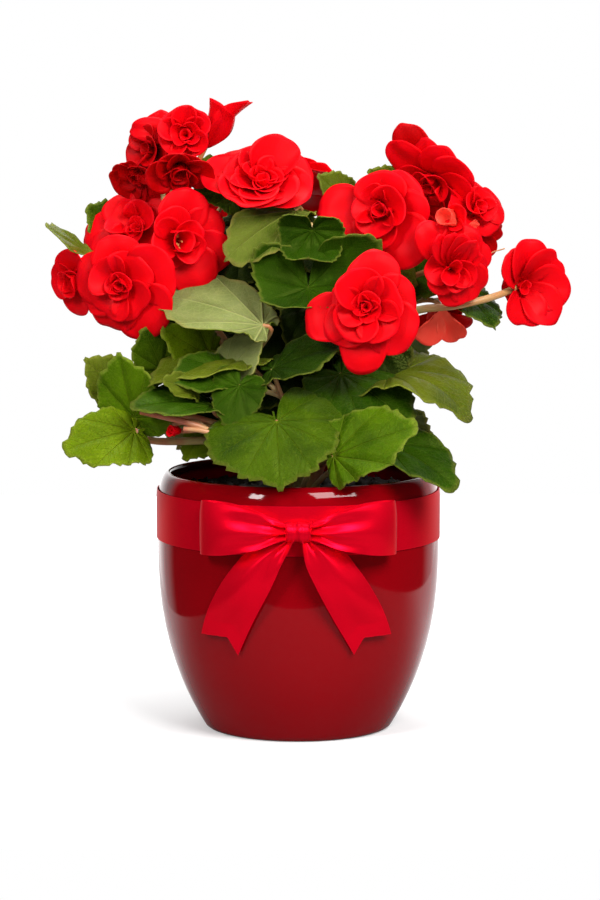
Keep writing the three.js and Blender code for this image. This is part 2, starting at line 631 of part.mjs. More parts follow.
// A point of a layer: petal number with its fraction across, and share of the way from hub to tip
function layerPoint(layer, seed, petal, v) {
  const near = (Math.round(petal) + layer.petals) % layer.petals;
  const edge = 1 - abs(petal - Math.round(petal)) * 2;
  const opened = (chance(near + 3, seed) - 0.5) * 12 * edge;
  const from = (layer.from + opened) * degree;
  const to = (layer.to + opened) * degree;
  const stretch = 1 + (chance(near, seed) - 0.6) * 0.16 * edge;
  const lean = mix(from, to, v);
  const scale = (layer.length * stretch) / (to - from);
  const out = scale * (cos(from) - cos(lean));
  const rise = scale * (sin(lean) - sin(from)) + layer.hub;
  const turn = layer.turn + (petal * 2 * PI) / layer.petals;
  return [out * cos(turn), out * sin(turn), rise];
}

function bloomCentre(bloom) {
  return vec(bloom.at).addScaledVector(vec(bloom.faces).normalize(), -heartShare * bloom.radius);
}

function makeBloom(bloom, swell) {
  const centre = bloomCentre(bloom);
  const axes = axesAlong(vec(bloom.faces));
  const solids = bloom.layers.map((petals, j) => {
    const layer = layerPlan(bloom, j);
    const seed = bloom.radius + bloom.turn + j;
    const local = [[0, 0, layer.hub]];
    const triangles = [];
    const each = petalEdge.length + 1;
    for (let k = 0; k < petals; k++) {
      petalEdge.forEach(([across, v]) => local.push(layerPoint(layer, seed, k + across, v)));
      local.push(layerPoint(layer, seed, k, petalMiddle));
      const first = 1 + k * each;
      const middle = first + petalEdge.length;
      const next = 1 + ((k + 1) % petals) * each;
      triangles.push([0, first, middle], [0, middle, next]);
      for (let i = 0; i < petalEdge.length; i++) {
        triangles.push([first + i, i < petalEdge.length - 1 ? first + i + 1 : next, middle]);
      }
    }
    return thickSheet(placed(local, centre, axes), triangles, petalThickness, swell);
  });
  return joined(solids).simplify(sliver);
}

function bloomStalk(bloom) {
  const axis = vec(bloom.faces).normalize();
  const end = bloomCentre(bloom).addScaledVector(axis, -petalThickness / 2 - endGap);
  return stalkCurve(bloom.stem, bloom.share, end, axis);
}

// A stalk has as few rings as leave each stretch between two of them nearly straight
function flowing(curve, steps) {
  for (let j = 0; j < steps; j++) {
    const [here, next] = [j, j + 1].map((k) => curve.getPointAt(k / steps));
    const chord = next.sub(here).normalize();
    const worst = min(...[j, j + 1].map((k) => chord.dot(curve.getTangentAt(k / steps))));
    if (worst < cos(stalkBend)) {
      return false;
    }
  }
  return true;
}

function stalk(curve, [startRadius, endRadius], swell) {
  let steps = 2;
  while (!flowing(curve, steps)) {
    steps += 1;
  }
  return tube(curve, startRadius, endRadius, 4, steps, swell);
}

function makeStems(swell) {
  const crown = new THREE.CylinderGeometry(crownRadius * 0.75 + swell, crownRadius + swell,
    crownTop - crownBottom + 2 * swell, 8);
  crown.rotateX(PI / 2).translate(0, 0, (crownTop + crownBottom) / 2);
  const solids = [solidOf(crown)];
  for (const curve of Object.values(stemCurves)) {
    solids.push(tube(curve, stemBase, stemTip, 6, 6, swell));
  }
  for (const leaf of Object.values(leaves)) {
    solids.push(stalk(leafStalk(leaf), stalkRadius.leaf, swell));
  }
  for (const bloom of Object.values(blooms)) {
    solids.push(stalk(bloomStalk(bloom), stalkRadius.bloom, swell));
  }
  return joined(solids).simplify(sliver);
}

// Put together. Each piece is kept clear of those before it.

const group = new THREE.Group();
const taken = [];

function overlapping(a, b) {
  const first = a.boundingBox();
  const second = b.boundingBox();
  return [0, 1, 2].every((i) => first.min[i] < second.max[i] && second.min[i] < first.max[i]);
}

function add(name, solid, surface, cutter) {
  const near = taken.filter((other) => overlapping(solid, other));
  const clear = near.length ? largestBody(solid.subtract(joined(near)).simplify(sliver)) : solid;
  if (cutter) {
    taken.push(joined([cutter, clear]));
  }
  group.add(meshOf(name, clear, surface));
}

group.add(meshOf("pot", makePot(), finish.glaze));
group.add(meshOf("soil", makeSoil(), finish.soil));
group.add(meshOf("ribbon_band", makeBand(), finish.satin));
add("bow_knot", makeKnot(0), finish.satin, makeKnot(gap));
add("bow_loop_left", makeStrip(loopStations, -1), finish.satin);
add("bow_loop_right", makeStrip(loopStations, 1), finish.satin);
add("bow_tail_left", makeTail(tailLeft), finish.satin);
add("bow_tail_right", makeTail(tailRight), finish.satin);
add("stems", makeStems(0), finish.stem, makeStems(gap));
for (const name of Object.keys(blooms).filter((each) => !Object.values(leanedOn).includes(each))) {
  const bunch = leanedOn[name] ? [name, leanedOn[name]] : [name];
  const [solid, cutter] = [0, gap].map((swell) =>
    joined(bunch.map((each) => makeBloom(blooms[each], swell))),
  );
  add(name, solid, finish.petal, cutter);
}
for (const [name, leaf] of Object.entries(leaves)) {
  add(name, makeLeaf(leaf, 0), finish.leaf, makeLeaf(leaf, gap));
}

export default group;
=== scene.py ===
# A potted double begonia: a glazed pot of soil, branching stems, toothed leaves, red blooms and a satin bow.
import math

import bpy
import numpy as np
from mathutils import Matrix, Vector


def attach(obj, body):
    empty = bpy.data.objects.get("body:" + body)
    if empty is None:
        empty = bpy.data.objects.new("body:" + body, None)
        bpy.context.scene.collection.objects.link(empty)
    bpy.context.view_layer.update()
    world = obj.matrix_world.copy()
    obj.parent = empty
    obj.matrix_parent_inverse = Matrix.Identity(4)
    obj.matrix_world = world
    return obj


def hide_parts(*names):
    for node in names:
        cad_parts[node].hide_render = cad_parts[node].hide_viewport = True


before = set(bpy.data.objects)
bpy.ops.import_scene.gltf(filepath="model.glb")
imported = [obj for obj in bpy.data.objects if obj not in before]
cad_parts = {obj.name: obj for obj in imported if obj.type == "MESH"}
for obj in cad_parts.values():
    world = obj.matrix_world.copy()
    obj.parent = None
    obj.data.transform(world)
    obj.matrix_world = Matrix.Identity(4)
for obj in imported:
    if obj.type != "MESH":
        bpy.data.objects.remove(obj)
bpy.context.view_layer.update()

mm = 0.001
degree = math.pi / 180
print("frame loaded:", len(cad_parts), "nodes")


# Small helpers

def mix(a, b, t):
    return a + (b - a) * t


def ease(t):
    t = np.clip(t, 0, 1)
    return t * t * (3 - 2 * t)


def chance(k, seed):  # a repeatable value from 0 to 1
    wide = math.sin(k * 12.9898 + seed * 78.233) * 43758.5453
    return wide - math.floor(wide)


def unit(v):
    return np.array(v, float) / np.linalg.norm(v)


def smoothRun(t, a, slopeA, b, slopeB):  # from a to b, leaving and arriving along the slopes
    return ((2 * t**3 - 3 * t**2 + 1) * a + (t**3 - 2 * t**2 + t) * slopeA
            + (-2 * t**3 + 3 * t**2) * b + (t**3 - t**2) * slopeB)


def pieceName(node):  # bow_loop_left becomes bowLoopLeft
    first, *rest = node.split("_")
    return first + "".join(word.title() for word in rest)


def deselectAll():
    bpy.ops.object.select_all(action="DESELECT")


def makeActive(piece):
    deselectAll()
    piece.select_set(True)
    bpy.context.view_layer.objects.active = piece


def gridPiece(name, columns, rows):  # a flat grid from -1 to 1 both ways
    deselectAll()
    bpy.ops.mesh.primitive_grid_add(x_subdivisions=columns, y_subdivisions=rows, size=2)
    piece = bpy.context.object
    piece.name = name
    return piece


def pointsOf(piece):
    points = np.empty(len(piece.data.vertices) * 3, np.float32)
    piece.data.vertices.foreach_get("co", points)
    return points.reshape(-1, 3).astype(float)


def setPoints(piece, points):  # points in millimetres
    piece.data.vertices.foreach_set("co", (points * mm).astype(np.float32).ravel())
    piece.data.update()


def copyOf(piece, name):
    twin = piece.copy()
    twin.data = piece.data.copy()
    twin.name = name
    bpy.context.collection.objects.link(twin)
    return twin


def joined(pieces, name):
    makeActive(pieces[0])
    for piece in pieces[1:]:
        piece.select_set(True)
    bpy.ops.object.join()
    pieces[0].name = name
    return pieces[0]


def tidyMesh(piece, merge=0.0, flip=False, outward=False):  # closes seams and turns faces
    makeActive(piece)
    bpy.ops.object.mode_set(mode="EDIT")
    bpy.ops.mesh.select_all(action="SELECT")
    if merge:
        bpy.ops.mesh.remove_doubles(threshold=merge)
    if flip:
        bpy.ops.mesh.flip_normals()
    if outward:
        bpy.ops.mesh.normals_make_consistent(inside=False)
    bpy.ops.object.mode_set(mode="OBJECT")


def drawTo(piece, radius, height):  # extrudes the selected ring to a radius and height in millimetres
    bpy.ops.mesh.extrude_region_move()
    bpy.ops.object.mode_set(mode="OBJECT")
    for point in piece.data.vertices:
        if point.select:
            size = math.hypot(point.co.x, point.co.y)
            point.co = (point.co.x / size * radius * mm, point.co.y / size * radius * mm, height * mm)
    bpy.ops.object.mode_set(mode="EDIT")


def thicken(piece, thickness, underSlot=0):
    solid = piece.modifiers.new("thickness", "SOLIDIFY")
    solid.thickness = thickness * mm
    solid.offset = 0
    solid.material_offset = underSlot
    makeActive(piece)
    bpy.ops.object.modifier_apply(modifier=solid.name)


def smoothShaded(piece, angle=None):
    makeActive(piece)
    if angle is None:
        bpy.ops.object.shade_smooth()
    else:
        bpy.ops.object.shade_smooth_by_angle(angle=angle * degree)


def dress(piece, slotName, *nodes):  # rides on the part and stands for its solids
    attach(piece, "root")
    if nodes:
        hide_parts(*nodes)


# Material helpers

def plug(tree, value, socket):  # an output is linked, a number or colour is set
    if isinstance(value, bpy.types.NodeSocket):
        tree.links.new(value, socket)
    else:
        socket.default_value = (*value, 1.0) if socket.type == "RGBA" else value


def plugAll(tree, node, values):
    for name, value in values.items():
        plug(tree, value, node.inputs[name])


def addNode(tree, kind, inputs=(), **settings):
    node = tree.nodes.new("ShaderNode" + kind)
    for name, value in settings.items():
        setattr(node, name, value)
    plugAll(tree, node, dict(inputs))
    return node


def maths(tree, operation, a, b=0.0, c=0.0):
    return addNode(tree, "Math", {0: a, 1: b, 2: c}, operation=operation).outputs[0]


def blendColours(tree, factor, a, b):
    return addNode(tree, "Mix", {0: factor, 6: a, 7: b}, data_type="RGBA").outputs[2]


def ranged(tree, value, fromLow, fromHigh, toLow=0.0, toHigh=1.0, kind="SMOOTHSTEP"):
    inputs = dict(enumerate((value, fromLow, fromHigh, toLow, toHigh)))
    return addNode(tree, "MapRange", inputs, interpolation_type=kind).outputs[0]


def parts(tree, vector):  # its x, y and z
    return addNode(tree, "SeparateXYZ", {0: vector}).outputs


def objectPlace(tree):
    return addNode(tree, "TexCoord").outputs["Object"]


def lengthOf(tree, vector):
    return addNode(tree, "VectorMath", {0: vector}, operation="LENGTH").outputs["Value"]


def uvPlace(tree, name="UVMap"):
    return addNode(tree, "UVMap", uv_map=name).outputs[0]


def noiseAt(tree, place, scale, detail):
    return addNode(tree, "TexNoise", {"Vector": place, "Scale": scale, "Detail": detail}).outputs["Fac"]


def streaks(tree, scale, detail):  # noise drawn out along the piece's own map
    place = addNode(tree, "Mapping", {"Vector": uvPlace(tree), "Scale": scale}).outputs[0]
    return noiseAt(tree, place, 1.0, detail)


def bumpOf(tree, strength, distance, height, **more):
    inputs = {"Strength": strength, "Distance": distance, "Height": height}
    return addNode(tree, "Bump", inputs, **more)


def newMaterial(name):
    material = bpy.data.materials.new(name)
    material.use_nodes = True
    return material, material.node_tree


def shade(tree, values):
    plugAll(tree, tree.nodes["Principled BSDF"], values)


def newGroup(name, inputs, outputs):  # an effect that more than one material uses
    tree = bpy.data.node_groups.new(name, "ShaderNodeTree")
    for label, value in inputs.items():
        socket = tree.interface.new_socket(name=label, in_out="INPUT", socket_type="NodeSocketFloat")
        socket.default_value = value
    for label, kind in outputs.items():
        tree.interface.new_socket(name=label, in_out="OUTPUT", socket_type="NodeSocket" + kind)
    return tree, tree.nodes.new("NodeGroupInput").outputs, tree.nodes.new("NodeGroupOutput")


def placeGroup(tree, group, **values):
    return addNode(tree, "Group", values, node_tree=group).outputs


# Speckle: uneven tone and a fine bump, on the part's own coordinates
def makeSpeckle():
    tree, given, result = newGroup(
        "speckle", {"Scale": 200.0, "Detail": 4.0, "Bump": 0.1, "Depth": 0.0002},
        {"Mask": "Float", "Normal": "Vector"})
    noise = noiseAt(tree, objectPlace(tree), given["Scale"], given["Detail"])
    bump = bumpOf(tree, given["Bump"], given["Depth"], noise)
    plugAll(tree, result, {"Mask": noise, "Normal": bump.outputs[0]})
    return tree


speckle = makeSpeckle()


# Camera, lights and floor

studio = {
    "cameraPlace": (0.0009, -1.8, 0.364),
    "cameraPitch": 6.925,
    "lens": 138.76,
    "aim": (0, 0, 0.16),
    "tableFront": 0.28,  # the white table ends here, so the glaze mirrors the dark room beyond it
    "tableBack": 0.9,
    "tableLeft": 0.24,
    "tableRight": 0.36,
    "ambient": 0.26,
}
lamps = [  # name, place, width, height, power
    ("keyLight", (0.85, -1.3, 1.35), 1.15, 0.8, 48.5),
    ("leftLight", (-0.85, -1.15, 0.95), 0.3, 0.5, 14.0),
    ("topLight", (-0.1, 0.2, 1.5), 1.0, 1.0, 17.0),
    ("lowFill", (0.0, -1.7, 0.25), 0.8, 0.6, 2.3),
]
plainWhite = (1, 1, 1)


def makeCamera():
    deselectAll()
    pitch = (90 - studio["cameraPitch"]) * degree
    bpy.ops.object.camera_add(location=studio["cameraPlace"], rotation=(pitch, 0, 0))
    camera = bpy.context.object
    camera.data.lens = studio["lens"]
    camera.data.sensor_width = 36
    camera.data.clip_start = 0.05
    bpy.context.scene.camera = camera
    bpy.context.scene.view_settings.view_transform = "Standard"


def makeLamps():
    for name, place, wide, high, power in lamps:
        bpy.ops.object.light_add(type="AREA", location=place)
        lamp = bpy.context.object
        lamp.name = name
        lamp.rotation_euler = (Vector(studio["aim"]) - Vector(place)).to_track_quat("-Z", "Y").to_euler()
        lamp.data.shape = "RECTANGLE"
        lamp.data.size = wide
        lamp.data.size_y = high
        lamp.data.energy = power
        lamp.visible_camera = False
        lamp.visible_glossy = name != "lowFill"  # the glaze does not mirror the fill


def makeTable():
    deselectAll()
    wide = studio["tableLeft"] + studio["tableRight"]
    deep = studio["tableFront"] + studio["tableBack"]
    bpy.ops.mesh.primitive_plane_add(size=1)
    table = bpy.context.object
    table.name = "whiteTable"
    table.scale = (wide, deep, 1)
    table.location = (studio["tableRight"] - wide / 2, studio["tableBack"] - deep / 2, -0.0002)
    bpy.ops.object.transform_apply(location=True, scale=True)
    table.data.materials.append(makeTableWhite())


def makeTableWhite():  # seen nearly white, with less light thrown up on the pot and in its mirror
    material, tree = newMaterial("tableWhite")
    place = addNode(tree, "NewGeometry").outputs["Position"]
    rays = addNode(tree, "LightPath").outputs
    glow = ranged(tree, lengthOf(tree, place), 0.13, 0.27, 0.28, 1.0)
    behind = ranged(tree, parts(tree, place)["Y"], -0.04, 0.14, 0.0, 0.9)
    glow = maths(tree, "MULTIPLY", glow, rays["Is Camera Ray"])
    mirrored = maths(tree, "MULTIPLY", behind, rays["Is Glossy Ray"])
    white = blendColours(tree, rays["Is Glossy Ray"], (0.36, 0.36, 0.36), (0.2, 0.2, 0.2))
    shade(tree, {
        "Base Color": blendColours(tree, rays["Is Camera Ray"], white, (0.7, 0.7, 0.7)),
        "Roughness": 0.8, "Specular IOR Level": 0.1, "Emission Color": plainWhite,
        "Emission Strength": maths(tree, "MAXIMUM", glow, mirrored)})
    return material


# The room as it is seen, as it lights the plant, and as the glaze mirrors it
def makeRoom():
    world = bpy.context.scene.world or bpy.data.worlds.new("room")
    bpy.context.scene.world = world
    world.use_nodes = True
    tree = world.node_tree
    tree.nodes.clear()
    rays = addNode(tree, "LightPath").outputs
    place = parts(tree, addNode(tree, "TexCoord").outputs["Generated"])
    backdrop = maths(tree, "MAXIMUM", ranged(tree, place["Y"], 0.50, 0.74),
                     ranged(tree, place["Y"], 0.60, 0.95, 0.0, 2.3))
    low = ranged(tree, place["Z"], -0.3, 0.2, 0.06, 0.02)
    seen = addNode(tree, "Background", {"Color": plainWhite, "Strength": 1.0})
    soft = addNode(tree, "Background", {"Color": plainWhite, "Strength": studio["ambient"]})
    mirrored = addNode(tree, "Background", {"Strength": maths(tree, "MAXIMUM", backdrop, low)})
    lit = addNode(tree, "MixShader", {0: rays["Is Glossy Ray"], 1: soft.outputs[0], 2: mirrored.outputs[0]})
    last = addNode(tree, "MixShader", {0: rays["Is Camera Ray"], 1: lit.outputs[0], 2: seen.outputs[0]})
    addNode(tree, "OutputWorld", {"Surface": last.outputs[0]})


makeCamera()
makeLamps()
makeTable()
makeRoom()
print("studio ready")


# Pot: the belly is the widest ring, the wall curves in below it to the foot and above it to the rim

pot = {
    "height": 134.6,
    "bellyRadius": 73.5,
    "bellyLow": 98.0,
    "bellyHigh": 118.0,
    "footRadius": 48.2,
    "bellyCurve": 2.45,
    "crestRadius": 68.0,
    "wall": 5.0,
    "floor": 7.0,
    "sides": 128,
    "outerHeights": (1.2, 2.8, 5.5, 9, 14, 20, 27, 35, 44, 54, 64, 74, 84, 92, 98, 104, 111, 118, 122, 126,
                     129, 130.5, 131.8, 132.9, 133.7, 134.3),
    "rim": ((0, 0), (0.8, 0.2), (1.4, 0.9), (1.6, 2.2), (1.4, 4)),  # inward of the crest and down from it
    "innerHeights": (128, 124, 112, 98, 70, 45, 25, 14),
    "footRing": ((43.5, 0.0), (42.6, 1.2), (20, 1.2)),  # radius and height, under the foot
}


def potRadius(z):
    z = np.asarray(z, float)
    below = pot["bellyRadius"] - (pot["bellyRadius"] - pot["footRadius"]) * (
        np.clip(1 - z / pot["bellyLow"], 0, 1) ** pot["bellyCurve"])
    rise = np.clip((z - pot["bellyHigh"]) / (pot["height"] - pot["bellyHigh"]), 0, 1)
    above = pot["crestRadius"] + (pot["bellyRadius"] - pot["crestRadius"]) * np.sqrt(1 - rise**2)
    return np.where(z < pot["bellyLow"], below, above)


def innerRadius(z):
    return float(potRadius(z)) - pot["wall"]


def makeGlaze():
    material, tree = newMaterial("glaze")
    marks = placeGroup(tree, speckle, Scale=9.0, Detail=2.0, Bump=0.05, Depth=0.0006)
    tone = blendColours(tree, marks["Mask"], (0.205, 0.0002, 0.0024), (0.255, 0.0003, 0.0034))
    place = objectPlace(tree)
    # Painted shade: the inner wall above the soil is darkened to near black, where shade falls inside the
    # pot.
    level = addNode(tree, "VectorMath", {0: place, 1: (1, 1, 0)}, operation="MULTIPLY").outputs[0]
    inside = maths(tree, "MULTIPLY", ranged(tree, lengthOf(tree, level), 0.0664, 0.0676, 1.0, 0.0),
                   ranged(tree, parts(tree, place)["Z"], 0.10, 0.11))
    shade(tree, {
        "Base Color": blendColours(tree, inside, tone, (0.03, 0.0004, 0.0006)),
        "Roughness": 0.06, "Specular IOR Level": 0.24, "Normal": marks["Normal"]})
    return material


def makePot():
    profile = [(pot["footRadius"] - 1.4, 0), (pot["footRadius"] - 0.5, 0.3)]
    profile += [(float(potRadius(z)), z) for z in pot["outerHeights"]]
    profile += [(pot["crestRadius"] - inward, pot["height"] - drop) for inward, drop in pot["rim"]]
    profile += [(innerRadius(z), z) for z in pot["innerHeights"]]
    profile += [(innerRadius(pot["floor"]) - pot["wall"], pot["floor"]), (20, pot["floor"])]
    deselectAll()
    bpy.ops.mesh.primitive_circle_add(vertices=pot["sides"], radius=profile[0][0] * mm)
    piece = bpy.context.object
    piece.name = "potGlazed"
    bpy.ops.object.mode_set(mode="EDIT")
    bpy.ops.mesh.select_all(action="SELECT")
    for (r0, z0), (r1, z1) in zip(profile, profile[1:]):
        bpy.ops.mesh.extrude_region_move(TRANSFORM_OT_translate={"value": (0, 0, (z1 - z0) * mm)})
        bpy.ops.transform.resize(value=(r1 / r0, r1 / r0, 1), center_override=(0, 0, 0))
    bpy.ops.mesh.extrude_region_move()
    bpy.ops.mesh.merge(type="CENTER")
    bpy.ops.object.mode_set(mode="OBJECT")
    for point in piece.data.vertices:
        point.select = abs(point.co.z) < 1e-6
    bpy.ops.object.mode_set(mode="EDIT")
    bpy.ops.mesh.select_mode(type="VERT")
    for radius, height in pot["footRing"]:
        drawTo(piece, radius, height)
    bpy.ops.mesh.extrude_region_move()
    bpy.ops.mesh.merge(type="CENTER")
    bpy.ops.object.mode_set(mode="OBJECT")
    tidyMesh(piece, outward=True)
    piece.data.materials.append(makeGlaze())
    smoothShaded(piece, 50)
    dress(piece, "glaze", "pot")


makePot()
print("pot made")


# Soil: crumbly, a little mounded, with crumbs lying on it

soil = {
    "level": 124.0,
    "bump": 1.6,
    "crumbs": 260,
    "grid": 72,
    "gap": 0.05,
    "body": ((98, 0.4), (45, 0.4), (12, 5.4)),  # heights, and how far inside the pot's wall the soil ends
}


def makeSoilMaterial():
    material, tree = newMaterial("soilDark")
    marks = placeGroup(tree, speckle, Scale=420.0, Detail=8.0, Bump=0.9, Depth=0.0016)
    patches = placeGroup(tree, speckle, Scale=70.0, Detail=3.0, Bump=0.0, Depth=0.001)
    dark = blendColours(tree, marks["Mask"], (0.002, 0.0014, 0.001), (0.028, 0.016, 0.009))
    tone = blendColours(tree, patches["Mask"], dark, (0.008, 0.005, 0.004))
    shade(tree, {"Base Color": tone, "Roughness": 0.9, "Normal": marks["Normal"]})
    return material


def soilHeight(x, y):
    rough = np.sin(x * 0.31 + 1.3) * np.cos(y * 0.27 - 0.4) + 0.6 * np.sin(x * 0.83 - y * 0.71)
    rough = rough + 0.5 * np.cos(x * 1.9 + y * 1.4)
    return soil["level"] + soil["bump"] * 0.55 * rough


def makeSoilBody(inner):
    piece = gridPiece("soilTop", soil["grid"], soil["grid"])
    flat = pointsOf(piece)
    u, v = flat[:, 0], flat[:, 1]
    x = inner * u * np.sqrt(1 - v**2 / 2)
    y = inner * v * np.sqrt(1 - u**2 / 2)
    jag = np.array([chance(i, 3) for i in range(len(x))]) - 0.5
    away = np.hypot(x, y) / inner
    z = soilHeight(x, y) + jag * 1.5 * (away < 0.99) - 1.5 * ease((away - 0.9) / 0.1)
    setPoints(piece, np.stack([x, y, z], 1))
    makeActive(piece)
    bpy.ops.object.mode_set(mode="EDIT")
    bpy.ops.mesh.select_all(action="DESELECT")
    bpy.ops.mesh.select_non_manifold()
    for height, inward in soil["body"]:
        drawTo(piece, innerRadius(height) - inward, height)
    bpy.ops.mesh.edge_face_add()
    bpy.ops.object.mode_set(mode="OBJECT")
    tidyMesh(piece, outward=True)
    return piece


def makeCrumbs(inner):
    deselectAll()
    bpy.ops.mesh.primitive_ico_sphere_add(subdivisions=1, radius=1)
    crumb = bpy.context.object
    shape = pointsOf(crumb)
    heap = []
    for i in range(soil["crumbs"]):
        away = math.sqrt(chance(i, 11)) * (inner - 3)
        turn = chance(i, 12) * 2 * math.pi
        size = mix(0.5, 1.7, chance(i, 13) ** 2)
        stretch = [mix(0.7, 1.5, chance(i, 14 + k)) for k in range(3)]
        cx, cy = away * math.cos(turn), away * math.sin(turn)
        spin = chance(i, 18) * math.pi
        bent = shape * np.array(stretch) * size
        x = bent[:, 0] * math.cos(spin) - bent[:, 1] * math.sin(spin)
        y = bent[:, 0] * math.sin(spin) + bent[:, 1] * math.cos(spin)
        twin = copyOf(crumb, f"crumb{i}")
        z = bent[:, 2] + float(soilHeight(cx, cy)) + size * 0.45
        setPoints(twin, np.stack([x + cx, y + cy, z], 1))
        heap.append(twin)
    bpy.data.objects.remove(crumb)
    return heap


def makeSoil():
    inner = innerRadius(soil["level"]) - soil["gap"]
    whole = joined([makeSoilBody(inner)] + makeCrumbs(inner), "soilTop")
    whole.data.materials.append(makeSoilMaterial())
    smoothShaded(whole, 45)
    dress(whole, "soil", "soil")


makeSoil()
print("soil made")


# Ribbon: places are an angle round the pot from the front, a height, and a stand-off from the band

ribbon = {
    "width": 25.4,
    "middle": 113.0,
    "outside": 74.65,
    "bandReach": 73.95,
    "thickness": 0.35,
    "bandLength": 465.0,
    "loopLength": 118.0,
    "tailLength": 72.0,
    "knotLength": 26.5,
    "notch": 0.25,  # how far across a tail the cut's point lies, from the middle
}


def onPot(angle, height, standOff):
    reach = np.minimum(ribbon["outside"], potRadius(height) + 1.15) + standOff
    return np.stack([reach * np.sin(angle * degree), -reach * np.cos(angle * degree), height + 0 * angle], -1)


def through(stations, count):  # a smooth run of count rows through the stations
    stations = np.array(stations, float)
    steps = np.sqrt(np.sum(np.diff(stations[:, :3], axis=0) ** 2 * [1.3, 1, 1], axis=1))
    knots = np.concatenate([[0], np.cumsum(steps)])
    slopes = np.gradient(stations, knots, axis=0)
    at = np.linspace(0, knots[-1], count)
    k = np.clip(np.searchsorted(knots, at, side="right") - 1, 0, len(knots) - 2)
    span = (knots[k + 1] - knots[k])[:, None]
    t = ((at - knots[k])[:, None]) / span
    return smoothRun(t, stations[k], slopes[k] * span, stations[k + 1], slopes[k + 1] * span)


def makeSatin():
    material, tree = newMaterial("satin")
    threads = streaks(tree, (260, 60, 1), 2.0)
    tone = blendColours(tree, threads, (0.80, 0.0012, 0.014), (1.0, 0.0028, 0.022))
    # Painted shade: the colour darkens where the cloth turns away from the view, at its folds and edges.
    facing = addNode(tree, "LayerWeight", {"Blend": 0.35}).outputs["Facing"]
    shade(tree, {
        "Base Color": blendColours(tree, ranged(tree, facing, 0.3, 1.0, 0.0, 0.45), tone, (0.33, 0.0, 0.01)),
        "Metallic": 0.6, "Roughness": 0.33, "Specular IOR Level": 0.3, "Specular Tint": (0.5, 0.02, 0.04),
        "Anisotropic": 0.5, "Normal": bumpOf(tree, 0.12, 0.0002, threads).outputs[0]})
    return material


satin = makeSatin()


def finishRibbon(piece, node):  # the satin, its thickness and smooth shading, riding on the part
    piece.data.materials.append(satin)
    thicken(piece, ribbon["thickness"])
    smoothShaded(piece, 60)
    dress(piece, "satin", node)


def makeBand():
    piece = gridPiece("ribbonBand", 144, 6)
    flat = pointsOf(piece)
    angle = flat[:, 0] * math.pi + math.pi  # the seam is at the front, under the bow
    height = ribbon["middle"] + flat[:, 1] * ribbon["width"] / 2
    reach = np.minimum(ribbon["bandReach"], potRadius(height) + 0.75) + 0.05
    setPoints(piece, np.stack([reach * np.sin(-angle), reach * np.cos(-angle) * -1, height], 1))
    tidyMesh(piece, merge=0.00002, outward=True)
    finishRibbon(piece, "ribbon_band")


loopStations = [  # angle, height, stand-off, half width up, half width down, crease
    (4.2, 113.4, 2.6, 3.2, 3.0, 0),
    (8, 113.5, 1.8, 5.4, 5.0, 0.3),
    (12, 113.6, 1.4, 7.6, 7.0, 0.2),
    (24, 114.0, 1.2, 12.0, 11.8, 0),
    (34.5, 114.0, 1.3, 13.1, 13.2, 0),
    (37.4, 114.0, 2.7, 13.3, 13.5, 0),
    (38.2, 114.0, 5.0, 13.4, 13.6, 0.2),
    (36.6, 114.0, 7.6, 13.5, 13.7, 0.5),
    (32.6, 114.1, 9.6, 13.5, 13.6, 1.2),
    (27, 114.2, 11.0, 13.2, 13.0, 1.6),
    (20, 114.2, 12.0, 11.6, 11.2, 0.9),
    (12, 114.0, 11.0, 8.4, 8.0, 0.4),
    (7, 113.8, 8.8, 5.2, 4.9, -0.4),
    (4.2, 113.6, 7.4, 3.8, 3.6, -0.6),
]


def makeLoop(node, side):  # side is -1 for the left and 1 for the right
    steps = 72
    piece = gridPiece(pieceName(node), 22, steps)
    flat = pointsOf(piece)
    across, along = flat[:, 0], (flat[:, 1] + 1) / 2
    row = through(loopStations, steps + 1)[np.round(along * steps).astype(int)]
    angle, height, stand, high, low, crease = row.T
    tight = ease((15 - angle) / 11)  # how far the ribbon is gathered towards the knot
    front = ease((along - 0.5) / 0.2)
    rise = np.where(across > 0, high, low) * across
    pleat = tight * (1.3 * np.cos(across * 8.2 + 0.6) + 0.5 * np.cos(across * 15 + 2))
    pleat += front * 1.0 * ease((34 - angle) / 24) * np.cos(across * 6.0 + 0.4) * (1 - tight * 0.5)
    swell = crease * (1 - across**2) * 1.3
    setPoints(piece, onPot(angle * side, height + rise, stand + swell + pleat))
    if side > 0:
        tidyMesh(piece, flip=True)
    finishRibbon(piece, node)


tailEdges = {  # outer edge and inner edge from the knot to the tip: angle, height, stand-off
    "bow_tail_left": (
        [(-6.6, 108.0, 5.8), (-12, 106.6, 5.2), (-18, 103.6, 4.6), (-26.5, 92, 4.0), (-34.5, 76, 2.6),
         (-41.5, 58, 1.2)],
        [(-1.4, 110.4, 5.8), (-3.2, 105, 6.4), (-5.4, 98.5, 6.0), (-9.8, 85, 4.8), (-17.5, 66.5, 3.4),
         (-25.5, 48, 2.4)],
    ),
    "bow_tail_right": (
        [(6.6, 108.0, 5.8), (10.5, 107, 5.2), (15.5, 104.6, 4.6), (23, 93.5, 4.0), (31.5, 77, 2.6),
         (39.5, 58, 1.2)],
        [(1.4, 110.4, 5.8), (1.7, 105, 6.4), (2.4, 98.5, 6.0), (6.2, 86, 4.8), (13.5, 68, 3.4),
         (23.5, 48.5, 2.4)],
    ),
}


